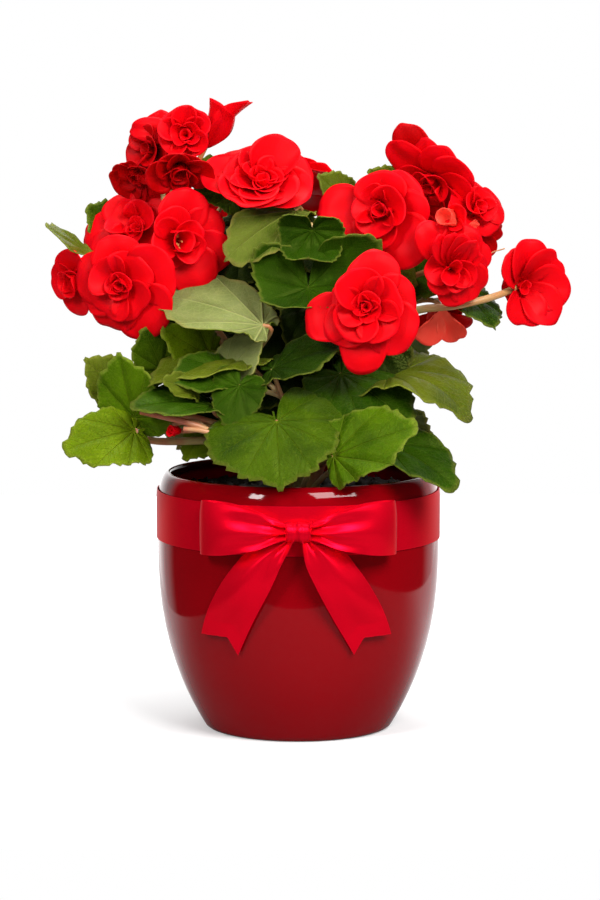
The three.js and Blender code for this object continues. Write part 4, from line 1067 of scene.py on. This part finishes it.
blooms = {
    "bloom_crown": bloomRow((-18, -12, 289), (0.1, -0.72, 0.7), 28.5, "centre", 0.97,
        petals=[(175, 55, 85, 33, 17), (228, 46, 76, 30, 17), (278, 44, 72, 27, 18), (325, 50, 80, 29, 16),
        (8, 55, 85, 28, 15), (52, 32, 54, 31, 15, 0.4), (100, 55, 88, 26, 15), (140, 58, 90, 28, 15)],
        rings=[(5, 20, 44, 70, 23, 15, 0.4), (4, 65, 36, 60, 18, 12.5, 0.5)] + heart(12, 10)),
    "bloom_left": bloomRow((-93, -32, 233), (-0.3, -0.93, -0.1), 26.5, "left", 0.8,
        petals=[(165, 66, 100, 26, 14), (92, 62, 96, 26, 15), (20, 64, 98, 31, 17), (-46, 66, 100, 32, 18),
        (-112, 66, 100, 25, 15), (-160, 64, 98, 23, 13)],
        rings=[(4, 50, 50, 84, 19, 14, 0.4)] + heart(10.5, 20)),
    "bloom_right_low": bloomRow((34, -66, 226), (-0.05, -0.98, 0.15), 28, "right", 0.6,
        petals=[(76, 60, 92, 30, 14), (12, 62, 98, 26, 15), (-38, 62, 98, 30, 15), (-94, 66, 104, 34, 13),
        (196, 66, 104, 33, 13), (152, 60, 92, 19, 11), (-138, 60, 92, 25, 13), (112, 40, 72, 23, 15, 0.5),
        (22, 44, 76, 21, 14, 0.5), (-52, 46, 80, 22, 14, 0.5), (-122, 46, 78, 21, 14, 0.5),
        (184, 42, 74, 18, 12, 0.5)], rings=heart(10.5, 60)),
    "bloom_right_mid": bloomRow((41, -32, 272), (-0.35, -0.93, 0.1), 25, "right", 0.9,
        petals=[(180, 58, 92, 36, 14, 0.4), (88, 50, 84, 22, 15), (38, 60, 95, 24, 15),
        (-12, 62, 96, 26, 15), (-50, 62, 98, 34, 16), (-100, 50, 80, 22, 14, 0.4), (140, 60, 90, 20, 11)],
        rings=[(3, 30, 36, 64, 18, 15, 0.5), (3, 80, 6, 24, 11, 9, 0.9)]),
    "bloom_left_upper": bloomRow((-86, 2, 263), (-0.35, -0.75, 0.45), 22, "left", 0.92,
        petals=[(186, 66, 102, 32, 14), (122, 60, 95, 26, 15), (60, 60, 95, 29, 15), (10, 60, 90, 20, 12),
        (-60, 55, 85, 22, 14), (-125, 60, 92, 29, 16)],
        rings=[(3, 30, 36, 66, 17, 14, 0.5)] + heart(8, 30)),
    "bloom_left_inner": bloomRow((-61, -22, 256), (0.25, -0.95, 0), 20, "left", 0.86,
        petals=[(78, 58, 92, 28, 14), (24, 60, 95, 27, 12), (-20, 60, 98, 31, 12), (-62, 60, 98, 30, 14),
        (-120, 50, 85, 16, 9, 0.4), (165, 40, 70, 18, 13, 0.5), (112, 50, 80, 20, 11, 0.4),
        (36, 30, 62, 18, 9, 0.6), (-34, 32, 66, 18, 10, 0.6), (180, 8, 26, 15, 12, 0.5),
        (0, 14, 44, 14, 12, 0.4)]),
    "bloom_right_top": bloomRow((67, -8, 283), (-0.38, -0.78, -0.5), 23, "right", 0.97,
        petals=[(132, 66, 96, 30, 10), (114, 76, 106, 33, 11, 0.3, "deep"), (92, 70, 104, 24, 8),
        (58, 60, 95, 24, 12), (20, 60, 95, 25, 13), (-20, 56, 90, 25, 13), (-60, 50, 80, 21, 13),
        (-110, 45, 75, 19, 13, 0.4), (175, 55, 85, 19, 12, 0.4)],
        rings=[(3, 20, 32, 58, 15, 13, 0.6), (3, 60, 8, 26, 10, 8, 0.9)]),
    "bloom_right_front": bloomRow((78, -42, 242.5), (0.15, -0.97, -0.04), 19, "right", 0.8,
        petals=[(124, 58, 92, 30, 9, 0.5), (100, 60, 90, 26, 11, 0.4), (70, 60, 90, 25, 12, 0.4),
        (40, 60, 92, 24, 12, 0.4), (5, 58, 92, 20, 11, 0.4), (-35, 58, 92, 21, 12),
        (-82, 58, 94, 20, 9, 0.5), (-130, 50, 84, 16, 8, 0.5), (180, 50, 80, 15, 9, 0.4),
        (118, 42, 66, 25, 6, 1.0), (97, 40, 62, 25, 6, 1.0), (76, 38, 60, 25, 6, 1.0),
        (56, 38, 60, 24, 6, 1.0), (34, 40, 62, 21, 6, 1.0), (-20, 36, 64, 16, 9, 0.7),
        (-62, 36, 64, 15, 8, 0.7), (-120, 22, 46, 14, 7, 0.9), (60, 14, 34, 13, 5, 1.0)]),
    "bloom_far_right": bloomRow((119.5, -15, 232), (0.5, -0.86, 0.04), 29, "right", 0.62,
        petals=[(88, 32, 86, 29, 14), (40, 32, 84, 28, 13), (-6, 32, 84, 28, 13), (-52, 32, 84, 28, 12),
        (-100, 32, 88, 25, 13), (-150, 40, 98, 13, 9), (158, 40, 94, 13, 9), (124, 34, 88, 26, 12)],
        rings=[(2, 60, 14, 34, 9, 5, 1.0)], stalk=1.35,
        path=[(37, -5, 207), (50, -20, 217), (66, -30, 222), (77, -32, 223), (94, -27, 226),
        (106, -18, 229)]),
    "bloom_right_side": bloomRow((93, -12, 273), (0.5, -0.7, 0.5), 16, "right", 0.9,
        petals=[(200, 60, 94, 19, 11), (140, 58, 92, 16, 10), (70, 58, 92, 17, 10), (5, 60, 96, 19, 11),
        (-60, 60, 96, 16, 10)], rings=[(3, 50, 30, 60, 13, 10, 0.6), (2, 20, 10, 30, 9, 6, 0.9)]),
    "bloom_top_a": bloomRow((-58, -10, 310), (-0.1, -0.95, 0.1), 17, "left", 0.98,
        petals=[(172, 76, 106, 31, 7), (122, 42, 72, 17, 14, 0.5), (62, 45, 74, 17, 13, 0.5),
        (0, 45, 75, 13, 12, 0.5), (-68, 45, 76, 15, 13, 0.5), (192, 42, 72, 16, 13, 0.5)],
        rings=[(2, 20, 24, 50, 12, 10, 0.7), (3, 90, 8, 24, 8, 6.5, 1.0)]),
    "bloom_top_b": bloomRow((-45.5, 4, 308), (0.45, -0.1, 0.85), 14, "left", 0.94,
        petals=[(150, 14, 24, 27, 14, 0.2), (262, 8, 24, 35, 11, 0.4), (20, 15, 32, 20, 8, 0.5, "deep"),
        (205, 4, 12, 15, 6, 0.8, "deep")]),
    "bloom_top_c": bloomRow((-77, 0, 302), (-0.7, -0.65, 0.2), 14, "left", 0.96,
        petals=[(76, 60, 94, 22, 11, 0.3, "bright"), (134, 60, 92, 20, 12), (190, 58, 92, 20, 12),
        (250, 58, 92, 19, 12), (310, 58, 92, 18, 11), (14, 58, 92, 18, 11), (100, 34, 64, 16, 11, 0.5),
        (220, 34, 64, 16, 11, 0.5), (340, 34, 64, 15, 10, 0.5)], rings=[(2, 30, 10, 34, 9, 7, 0.9)],
        tone="deep"),
    "bloom_top_d": bloomRow((-61, -14, 292), (0.1, -0.8, -0.6), 13, "left", 0.98,
        petals=[(5, 40, 78, 21, 11, 0.4), (72, 38, 74, 17, 11, 0.4), (125, 38, 74, 18, 11, 0.4),
        (182, 40, 78, 21, 11, 0.4), (235, 30, 62, 14, 10, 0.5), (300, 30, 62, 14, 10, 0.5)],
        rings=[(3, 40, 16, 40, 11, 8, 0.8)], tone="deep"),
    "bloom_top_e": bloomRow((-83, 6, 288), (-0.5, -0.6, -0.6), 14, "left", 0.95,
        petals=[(200, 40, 80, 21, 11, 0.4), (168, 40, 76, 17, 10, 0.4), (232, 40, 78, 19, 10, 0.4),
        (100, 40, 72, 14, 10, 0.4), (20, 40, 72, 17, 10, 0.4), (-50, 36, 70, 15, 9, 0.4)],
        rings=[(3, 30, 14, 36, 10, 7, 0.9)], tone="deep"),
    "bloom_far_left": bloomRow((-116, -8, 234), (-0.62, -0.75, -0.2), 16, "left", 0.75,
        petals=[(82, 42, 84, 20, 11, 0.4), (-90, 46, 90, 20, 10, 0.4), (-10, 42, 82, 15, 10, 0.4),
        (172, 40, 80, 17, 11, 0.4)], rings=[(3, 40, 20, 46, 14, 9, 0.7)]),
    "bloom_bud": bloomRow((78, -38, 268), (-0.5, -0.85, 0.2), 8, "right", 0.93,
        petals=[(-70, 40, 84, 15, 9, 0.5, "bright"), (0, 36, 70, 13, 9, 0.6, "bright"),
        (190, 12, 28, 13, 9, 0.9), (70, 12, 26, 13, 9, 0.9), (310, 14, 32, 11, 8, 0.9)], tone="salmon"),
    "bloom_right_dark": bloomRow((93, 3, 258), (0.6, -0.6, -0.5), 13, "right", 0.85,
        petals=[(-60, 30, 62, 19, 9, 0.4), (30, 32, 64, 17, 9, 0.4), (120, 32, 62, 15, 8, 0.4),
        (205, 30, 56, 15, 8, 0.4), (168, 8, 26, 10, 4.5, 0.8, "salmon")], tone="deep"),
    "bloom_right_behind": bloomRow((74, -20, 215), (0.1, -0.62, -0.78), 18, "right", 0.7,
        petals=[(222, 36, 60, 21, 10, 0.5), (318, 36, 58, 20, 9.5, 0.5), (350, 44, 80, 18, 9, 0.4, "deep"),
        (190, 44, 80, 18, 9, 0.4, "deep"), (90, 44, 84, 15, 11, 0.4, "deep")], tone="salmon"),
    "bloom_right_inner": bloomRow((61, 17, 263), (0, -0.9, 0.3), 18, "right", 0.95,
        rings=[(5, 45, 60, 96, 21, 12, 0.35), (4, 0, 38, 66, 16, 10, 0.5), (3, 30, 12, 36, 10, 6, 0.9)],
        tone="deep"),
    "bloom_rear_left": bloomRow((-52, 50, 258), (-0.35, 0.85, 0.4), 25, "back", 0.85,
        rings=fullBloom(25, 0)),
    "bloom_rear_right": bloomRow((52, 52, 262), (0.4, 0.82, 0.4), 26, "back", 0.9, rings=fullBloom(26, 60)),
    "bloom_rear_top": bloomRow((0, 42, 284), (0, 0.6, 0.8), 24, "back", 0.98, rings=fullBloom(24, 120)),
    "bloom_rear_low": bloomRow((4, 66, 232), (-0.1, 0.97, 0.1), 24, "back", 0.75, rings=fullBloom(24, 180)),
    # Closed buds low among the leaves, in the scene alone
    "budLow": bloomRow((-61, -47, 161), (-0.6, -0.7, 0.1), 5, "left", 0.3,
        rings=[(3, 10, 8, 22, 8.5, 4.6, 0.9), (3, 60, 4, 14, 7, 3.4, 1.0)]),
    "budHigh": bloomRow((88, -16, 262), (0.7, -0.4, 0.6), 4, "right", 0.9,
        rings=[(3, 10, 8, 20, 7, 3.8, 0.9)], tone="salmon"),
}
bunches = {"bloom_top_d": "bloom_top_a", "bloom_top_e": "bloom_top_c"}  # these share another's node
petal = {"grid": 13, "thickness": 0.38, "heart": 0.45, "ruffle": 0.03, "fold": 0.013, "tilt": 0.08}


def makePetalMaterial(name, base, body, rim, glow=0.0):
    material, tree = newMaterial(name)
    along = parts(tree, uvPlace(tree))["Y"]
    veins = streaks(tree, (22, 1.4, 1), 3.0)
    marks = placeGroup(tree, speckle, Scale=90.0, Detail=4.0, Bump=0.12, Depth=0.0003)
    # Painted shade: bright and deep petals darken toward the foot, where petals crowd in the heart; the
    # salmon foot is paler, its own colour.
    tone = blendColours(tree, ranged(tree, along, 0.0, 0.6), base, body)
    tone = blendColours(tree, ranged(tree, veins, 0.5, 0.8, 0.0, 0.22), tone, base)
    tone = blendColours(tree, ranged(tree, marks["Mask"], 0.45, 0.8, 0.0, 0.3), tone, rim)
    tone = blendColours(tree, ranged(tree, along, 0.85, 1.0, 0.0, 0.15), tone, rim)
    bump = bumpOf(tree, 0.16, 0.0004, veins)
    plug(tree, marks["Normal"], bump.inputs["Normal"])
    shade(tree, {
        "Base Color": tone, "Roughness": 0.46, "Specular IOR Level": 0.1, "Specular Tint": (1.0, 0.55, 0.6),
        "Subsurface Weight": 0.22, "Subsurface Radius": (1.0, 0.08, 0.08), "Subsurface Scale": 0.003,
        "Normal": bump.outputs[0]})
    if glow:  # painted glow, standing in for light that comes through a thin petal
        shade(tree, {"Emission Color": (0.9, 0.08, 0.05), "Emission Strength": glow})
    return material


petalFinishes = {
    "bright": makePetalMaterial(
        "petalBright", (0.52, 0.0002, 0.002), (0.70, 0.0006, 0.004), (0.76, 0.0015, 0.013)),
    # deep: a darker copy of the bright finish, painted shade for petals and blooms that sit in shade
    "deep": makePetalMaterial("petalDeep", (0.24, 0.0, 0.0004), (0.42, 0.0003, 0.001), (0.56, 0.002, 0.010)),
    "salmon": makePetalMaterial(
        "petalSalmon", (0.84, 0.17, 0.10), (0.82, 0.055, 0.035), (0.74, 0.015, 0.012), glow=0.15),
}
petalGrid = gridPiece("petalGrid", petal["grid"], petal["grid"])
petalFlat = pointsOf(petalGrid)


def axesAlong(faces):
    z = unit(faces)
    guide = np.array((0, 1, 0) if abs(z[2]) > 0.95 else (0, 0, 1), float)
    x = unit(np.cross(guide, z))
    return x, np.cross(z, x), z


def bloomCentre(bloom):
    return np.array(bloom["at"], float) - unit(bloom["faces"]) * petal["heart"] * bloom["radius"]


def petalPoints(foot, tip, length, half, cup, key):  # in the petal's own radial, sideways and axial lines
    u, v = petalFlat[:, 0], petalFlat[:, 1]
    a, b = u * np.sqrt(1 - v**2 / 2), v * np.sqrt(1 - u**2 / 2)
    around = np.arctan2(b, a)
    away = np.hypot(a, b)
    wavy = 1 + away**2 * (0.028 * np.sin(3 * around + key) + 0.02 * np.sin(5 * around + 2.3 * key))
    notch = (chance(1, key) - 0.35) * 0.1
    across = a * wavy
    along = (b * wavy + 1) / 2
    along = along - notch * np.exp(-((across / 0.22) ** 2)) * ease((along - 0.75) / 0.25)
    fine = np.linspace(0, 1.1, 66)
    angles = (mix(foot, tip, fine) + 10 * (chance(2, key) - 0.4) * ease((fine - 0.65) / 0.4)) * degree
    step = length * 1.1 / 65
    out = np.concatenate([[0], np.cumsum(np.sin(angles[:-1]) * step)]) + 0.03 * length
    rise = np.concatenate([[0], np.cumsum(np.cos(angles[:-1]) * step)])
    lean, o, r = (np.interp(along, fine, row) for row in (angles, out, rise))
    s = across * half * mix(0.5, 1.0, ease(along * 1.8))
    bend = np.clip(np.cos(lean), 0, 1) / np.maximum(o, 0.22 * length) + cup / length
    bend = np.clip(bend, 1e-4, 2.2 / half)
    side, lift = np.sin(s * bend) / bend, (1 - np.cos(s * bend)) / bend
    lift = lift + petal["tilt"] * s + petal["ruffle"] * length * along**2 * np.sin(across * 3.1 + key)
    lift = lift + petal["fold"] * length * along * np.cos(across * 6.3 + 3.1 * key)
    lift = lift - 0.05 * length * ease((away - 0.55) / 0.5) * ease((along - 0.3) / 0.5) * (tip > 85)
    return o - np.cos(lean) * lift, side, r + np.sin(lean) * lift


def petalRows(bloom):  # every petal as turn, foot, tip, length, half width, cup and tone
    rows = [(*row, *(0.3, bloom["tone"])[len(row) - 5:]) for row in bloom["petals"]]
    for j, (count, turn, foot, tip, length, half, cup) in enumerate(bloom["rings"]):
        for k in range(count):
            key = bloom["radius"] + turn + j * 7.3 + k
            sway = (chance(1, key) - 0.5) * 70 / count
            longer = 1 + (chance(2, key) - 0.5) * 0.16
            lean = (chance(3, key) - 0.5) * 10
            rows.append((turn + j * 137.5 + k * 360 / count + sway, foot + lean, tip + lean, length * longer,
                         half, cup, bloom["tone"]))
    return rows


def makeBloom(name, bloom, *nodes):
    centre = bloomCentre(bloom)
    xAxis, yAxis, zAxis = axesAlong(bloom["faces"])
    petals = []
    for n, (turn, foot, tip, length, half, cup, tone) in enumerate(petalRows(bloom)):
        radial, side, height = petalPoints(foot, tip, length, half, cup, bloom["radius"] + n * 2.1)
        height = height + 0.15 * n
        c, s = math.cos(turn * degree), math.sin(turn * degree)
        points = (centre + (radial * c - side * s)[:, None] * xAxis + (radial * s + side * c)[:, None] * yAxis
                  + height[:, None] * zAxis)
        each = copyOf(petalGrid, f"{name}{n}")
        setPoints(each, points)
        each.data.materials.append(petalFinishes[tone])
        petals.append(each)
    piece = joined(petals, name)
    thicken(piece, petal["thickness"])
    smoothShaded(piece)
    dress(piece, "petal", *nodes)


for name, bloom in blooms.items():
    makeBloom(pieceName(name), bloom, *([bunches.get(name, name)] if "_" in name else []))
bpy.data.objects.remove(petalGrid)
print("blooms opened:", len(blooms))


# Stems: one mesh of tapered runs, from the soil to every leaf and bloom

def bloomStalk(bloom):
    axis = unit(bloom["faces"])
    if "path" in bloom:
        return smoothPath(bloom["path"] + [tuple(bloomCentre(bloom) + axis * 0.6)], 18)
    return stalkLine(bloom["stem"], bloom["share"], bloomCentre(bloom) + axis * 0.6, axis)


def makeStemMaterial():
    material, tree = newMaterial("stemSkin")
    marks = placeGroup(tree, speckle, Scale=38.0, Detail=3.0, Bump=0.3, Depth=0.0005)
    height = ranged(tree, parts(tree, objectPlace(tree))["Z"], 0.13, 0.26)
    patch = ranged(tree, marks["Mask"], 0.35, 0.65)
    tan = blendColours(tree, patch, (0.50, 0.17, 0.05), (0.46, 0.34, 0.13))
    red = blendColours(tree, patch, (0.50, 0.13, 0.08), (0.52, 0.40, 0.16))
    shade(tree, {
        "Base Color": blendColours(tree, height, red, tan), "Roughness": 0.42, "Subsurface Weight": 0.15,
        "Subsurface Radius": (1.0, 0.5, 0.2), "Subsurface Scale": 0.001, "Normal": marks["Normal"]})
    return material


def makeTubes(name, runs, material):  # round runs of given radius, joined in one mesh
    deselectAll()
    bpy.ops.curve.primitive_nurbs_path_add()
    piece = bpy.context.object
    piece.name = name
    line = piece.data
    line.splines.clear()
    line.dimensions = "3D"
    line.bevel_depth = mm
    line.bevel_resolution = 3
    line.use_fill_caps = True
    for points, radii in runs:
        spline = line.splines.new("POLY")
        spline.points.add(len(points) - 1)
        spline.points.foreach_set("co", np.hstack([points * mm, np.ones((len(points), 1))]).ravel())
        spline.points.foreach_set("radius", radii[: len(points)])
        spline.use_smooth = True
    makeActive(piece)
    bpy.ops.object.convert(target="MESH")
    piece = bpy.context.object
    piece.data.materials.clear()
    piece.data.materials.append(material)
    smoothShaded(piece, 60)
    return piece


shoots = [  # young stalks low in the plant: the path and the radius
    ([(-14, -8, 150), (-30, -26, 158), (-48, -38, 163), (-57, -44, 162)], 0.9),
    ([(-10, -6, 140), (-28, -24, 156), (-50, -38, 166), (-78, -42, 170)], 1.6),
    ([(-16, -8, 152), (-34, -28, 168), (-52, -42, 173), (-74, -46, 172)], 1.3),
    ([(-6, -8, 128), (-20, -28, 142), (-34, -42, 156), (-40, -46, 166)], 1.8),
    ([(-30, -40, 150), (-44, -46, 160), (-52, -48, 166), (-64, -48, 164)], 1.1),
    ([(4, -14, 122), (10, -30, 132), (18, -44, 142), (20, -56, 150)], 1.5),
    ([(-2, -16, 122), (2, -32, 130), (6, -44, 142), (4, -52, 154)], 1.3),
    ([(-22, -28, 150), (-38, -48, 158), (-56, -55, 166), (-80, -48, 171)], 1.7),
    ([(-20, -34, 146), (-34, -52, 156), (-48, -57, 162), (-58, -56, 163)], 1.3),
    ([(90, -16, 236), (95, -20, 242), (98, -21, 249), (106, -20, 252)], 0.35),
]


def makeStems():
    runs = []
    for line in stemLines.values():
        points = line[::3]
        share = np.linspace(0, 1, len(points))
        radii = mix(stems["base"], stems["tip"], share)
        radii = radii * (1 + 0.14 * np.cos(share * 24) ** 8)  # swollen joints
        runs.append((points, radii))
    for kind, stalk, rows in (("leafStalk", leafStalk, leaves), ("bloomStalk", bloomStalk, blooms)):
        for row in rows.values():
            points = stalk(row)
            radii = mix(*stems[kind], np.linspace(0, 1, len(points)) ** 0.6)
            runs.append((points, radii * row.get("stalk", 1.0)))
    for path, radius in shoots:
        runs.append((smoothPath(path, 24), np.full(24, radius)))
    dress(makeTubes("stemsAndStalks", runs, makeStemMaterial()), "stem", "stems")


def makeStamens():  # the yellow threads in the slit of the bloom at the left
    bloom = blooms["bloom_left_inner"]
    centre, axes = bloomCentre(bloom), axesAlong(bloom["faces"])
    runs = []
    for k in range(6):
        turn, lean = chance(k, 31) * 2 * math.pi, 0.12 + 0.22 * chance(k, 32)
        way = math.cos(turn) * 0.5 * lean * axes[0] + math.sin(turn) * 1.6 * lean * axes[1] + axes[2]
        end = 8 + 3 * chance(k, 33)
        points = centre + np.linspace(1, end, 10)[:, None] * way
        runs.append((points, np.array([0.22] * 7 + [0.42, 0.5, 0.35])))
    material, tree = newMaterial("stamenYellow")
    marks = placeGroup(tree, speckle, Scale=900.0, Detail=2.0, Bump=0.2, Depth=0.0002)
    tone = blendColours(tree, marks["Mask"], (0.55, 0.22, 0.05), (0.65, 0.40, 0.12))
    shade(tree, {"Base Color": tone, "Roughness": 0.6})
    dress(makeTubes("stamens", runs, material), None)


makeStamens()
makeStems()
print("stems grown")
